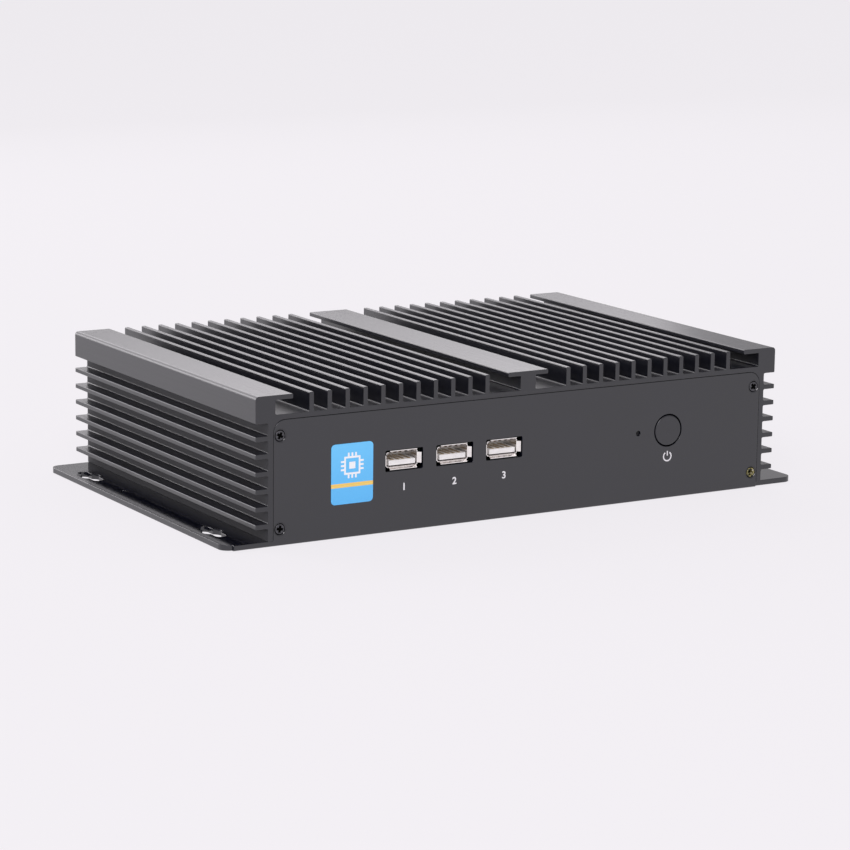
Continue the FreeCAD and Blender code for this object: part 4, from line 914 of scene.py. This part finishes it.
def pale_floor():
    """A sheet of pale paper under the object, clear from below."""
    mesh = bpy.data.meshes.new("floor")
    corners = [(-1, -1), (1, -1), (1, 1), (-1, 1)]
    mesh.from_pydata([(x * FLOOR_HALF, y * FLOOR_HALF, -FLOOR_DROP) for x, y in corners], [], [(0, 1, 2, 3)])
    floor = bpy.data.objects.new("floor", mesh)
    bpy.context.scene.collection.objects.link(floor)
    finish = bpy.data.materials.new("floor_paper")
    finish.use_nodes = True
    tree = finish.node_tree
    surface = tree.nodes["Principled BSDF"]
    surface.inputs["Roughness"].default_value = 1.0
    surface.inputs["Specular IOR Level"].default_value = 0.0
    surface.inputs["Base Color"].default_value = (*PALE, 1.0)
    glow = tree.nodes.new("ShaderNodeEmission")
    glow.inputs["Color"].default_value = (*PALE, 1.0)
    glow.inputs["Strength"].default_value = GLOW_LEVEL
    ray = tree.nodes.new("ShaderNodeLightPath")
    seen = sums(tree, "MAXIMUM", ray.outputs["Is Camera Ray"], ray.outputs["Is Glossy Ray"])
    seen = sums(tree, "MAXIMUM", seen, ray.outputs["Is Transmission Ray"])
    paper = tree.nodes.new("ShaderNodeMixShader")
    tree.links.new(sums(tree, "MULTIPLY", seen, OWN_GLOW), paper.inputs["Fac"])
    tree.links.new(surface.outputs["BSDF"], paper.inputs[1])
    tree.links.new(glow.outputs["Emission"], paper.inputs[2])
    below = tree.nodes.new("ShaderNodeNewGeometry")
    clear = tree.nodes.new("ShaderNodeBsdfTransparent")
    choice = tree.nodes.new("ShaderNodeMixShader")
    tree.links.new(below.outputs["Backfacing"], choice.inputs["Fac"])
    tree.links.new(paper.outputs["Shader"], choice.inputs[1])
    tree.links.new(clear.outputs["BSDF"], choice.inputs[2])
    tree.links.new(choice.outputs["Shader"], tree.nodes["Material Output"].inputs["Surface"])
    mesh.materials.append(finish)
    return floor


print("floor:", pale_floor().name)

# %% Lamps
LAMP_TINT = (1.0, 0.965, 1.0)


def soft_lamp(name, place, target, width, height, power):
    """A rectangular lamp at place that faces the target."""
    lamp = bpy.data.lights.new(name, "AREA")
    lamp.shape = "RECTANGLE"
    lamp.size = width
    lamp.size_y = height
    lamp.energy = power
    lamp.color = LAMP_TINT
    holder = bpy.data.objects.new(name, lamp)
    holder.location = place
    holder.rotation_euler = (Vector(target) - Vector(place)).to_track_quat("-Z", "Y").to_euler()
    bpy.context.scene.collection.objects.link(holder)
    return holder


middle = Vector((0.0, 0.0, cad_box[1][2] / 2))
soft_lamp("rear_lamp", (0.0, 1.3, 0.94), (0.0, 0.0, 0.94), 2.1, 1.2, 11.8)
soft_lamp("left_lamp", (-1.1, 1.5, 0.42), middle, 1.2, 0.8, 9.0)
soft_lamp("front_lamp", (-1.2, -1.8, 1.6), middle, 1.5, 1.5, 35.0)
print("lamps:", [item.name for item in bpy.data.lights])

# %% [markdown]
# ## Camera
# A long lens a good metre away, a little above the case and to its left, as for a catalogue: the
# uprights stay nearly upright and both the front and one side show.

# %% Camera
CAMERA_PLACE = (-0.6050, -1.0218, 0.2595)    # metres
YAW = math.radians(30.76)
DIP = math.radians(11.394)
ROLL = math.radians(0.724)
LENS = 129.8


def product_camera():
    """The camera, turned by YAW from +Y toward +X, dipped and rolled."""
    ahead = Vector((math.sin(YAW) * math.cos(DIP), math.cos(YAW) * math.cos(DIP), -math.sin(DIP)))
    right = Vector((math.cos(YAW), -math.sin(YAW), 0.0))
    up = right.cross(ahead)
    right_rolled = math.cos(ROLL) * right + math.sin(ROLL) * up
    up_rolled = -math.sin(ROLL) * right + math.cos(ROLL) * up
    turn = Matrix((right_rolled, up_rolled, -ahead)).transposed()
    data = bpy.data.cameras.new("camera")
    data.lens = LENS
    data.sensor_width = 36.0
    data.clip_start = 0.05
    data.clip_end = 50.0
    camera = bpy.data.objects.new("camera", data)
    camera.matrix_world = Matrix.Translation(CAMERA_PLACE) @ turn.to_4x4()
    bpy.context.scene.collection.objects.link(camera)
    bpy.context.scene.camera = camera


product_camera()
bpy.context.scene.view_settings.view_transform = "Standard"
print("lens:", LENS, "mm")
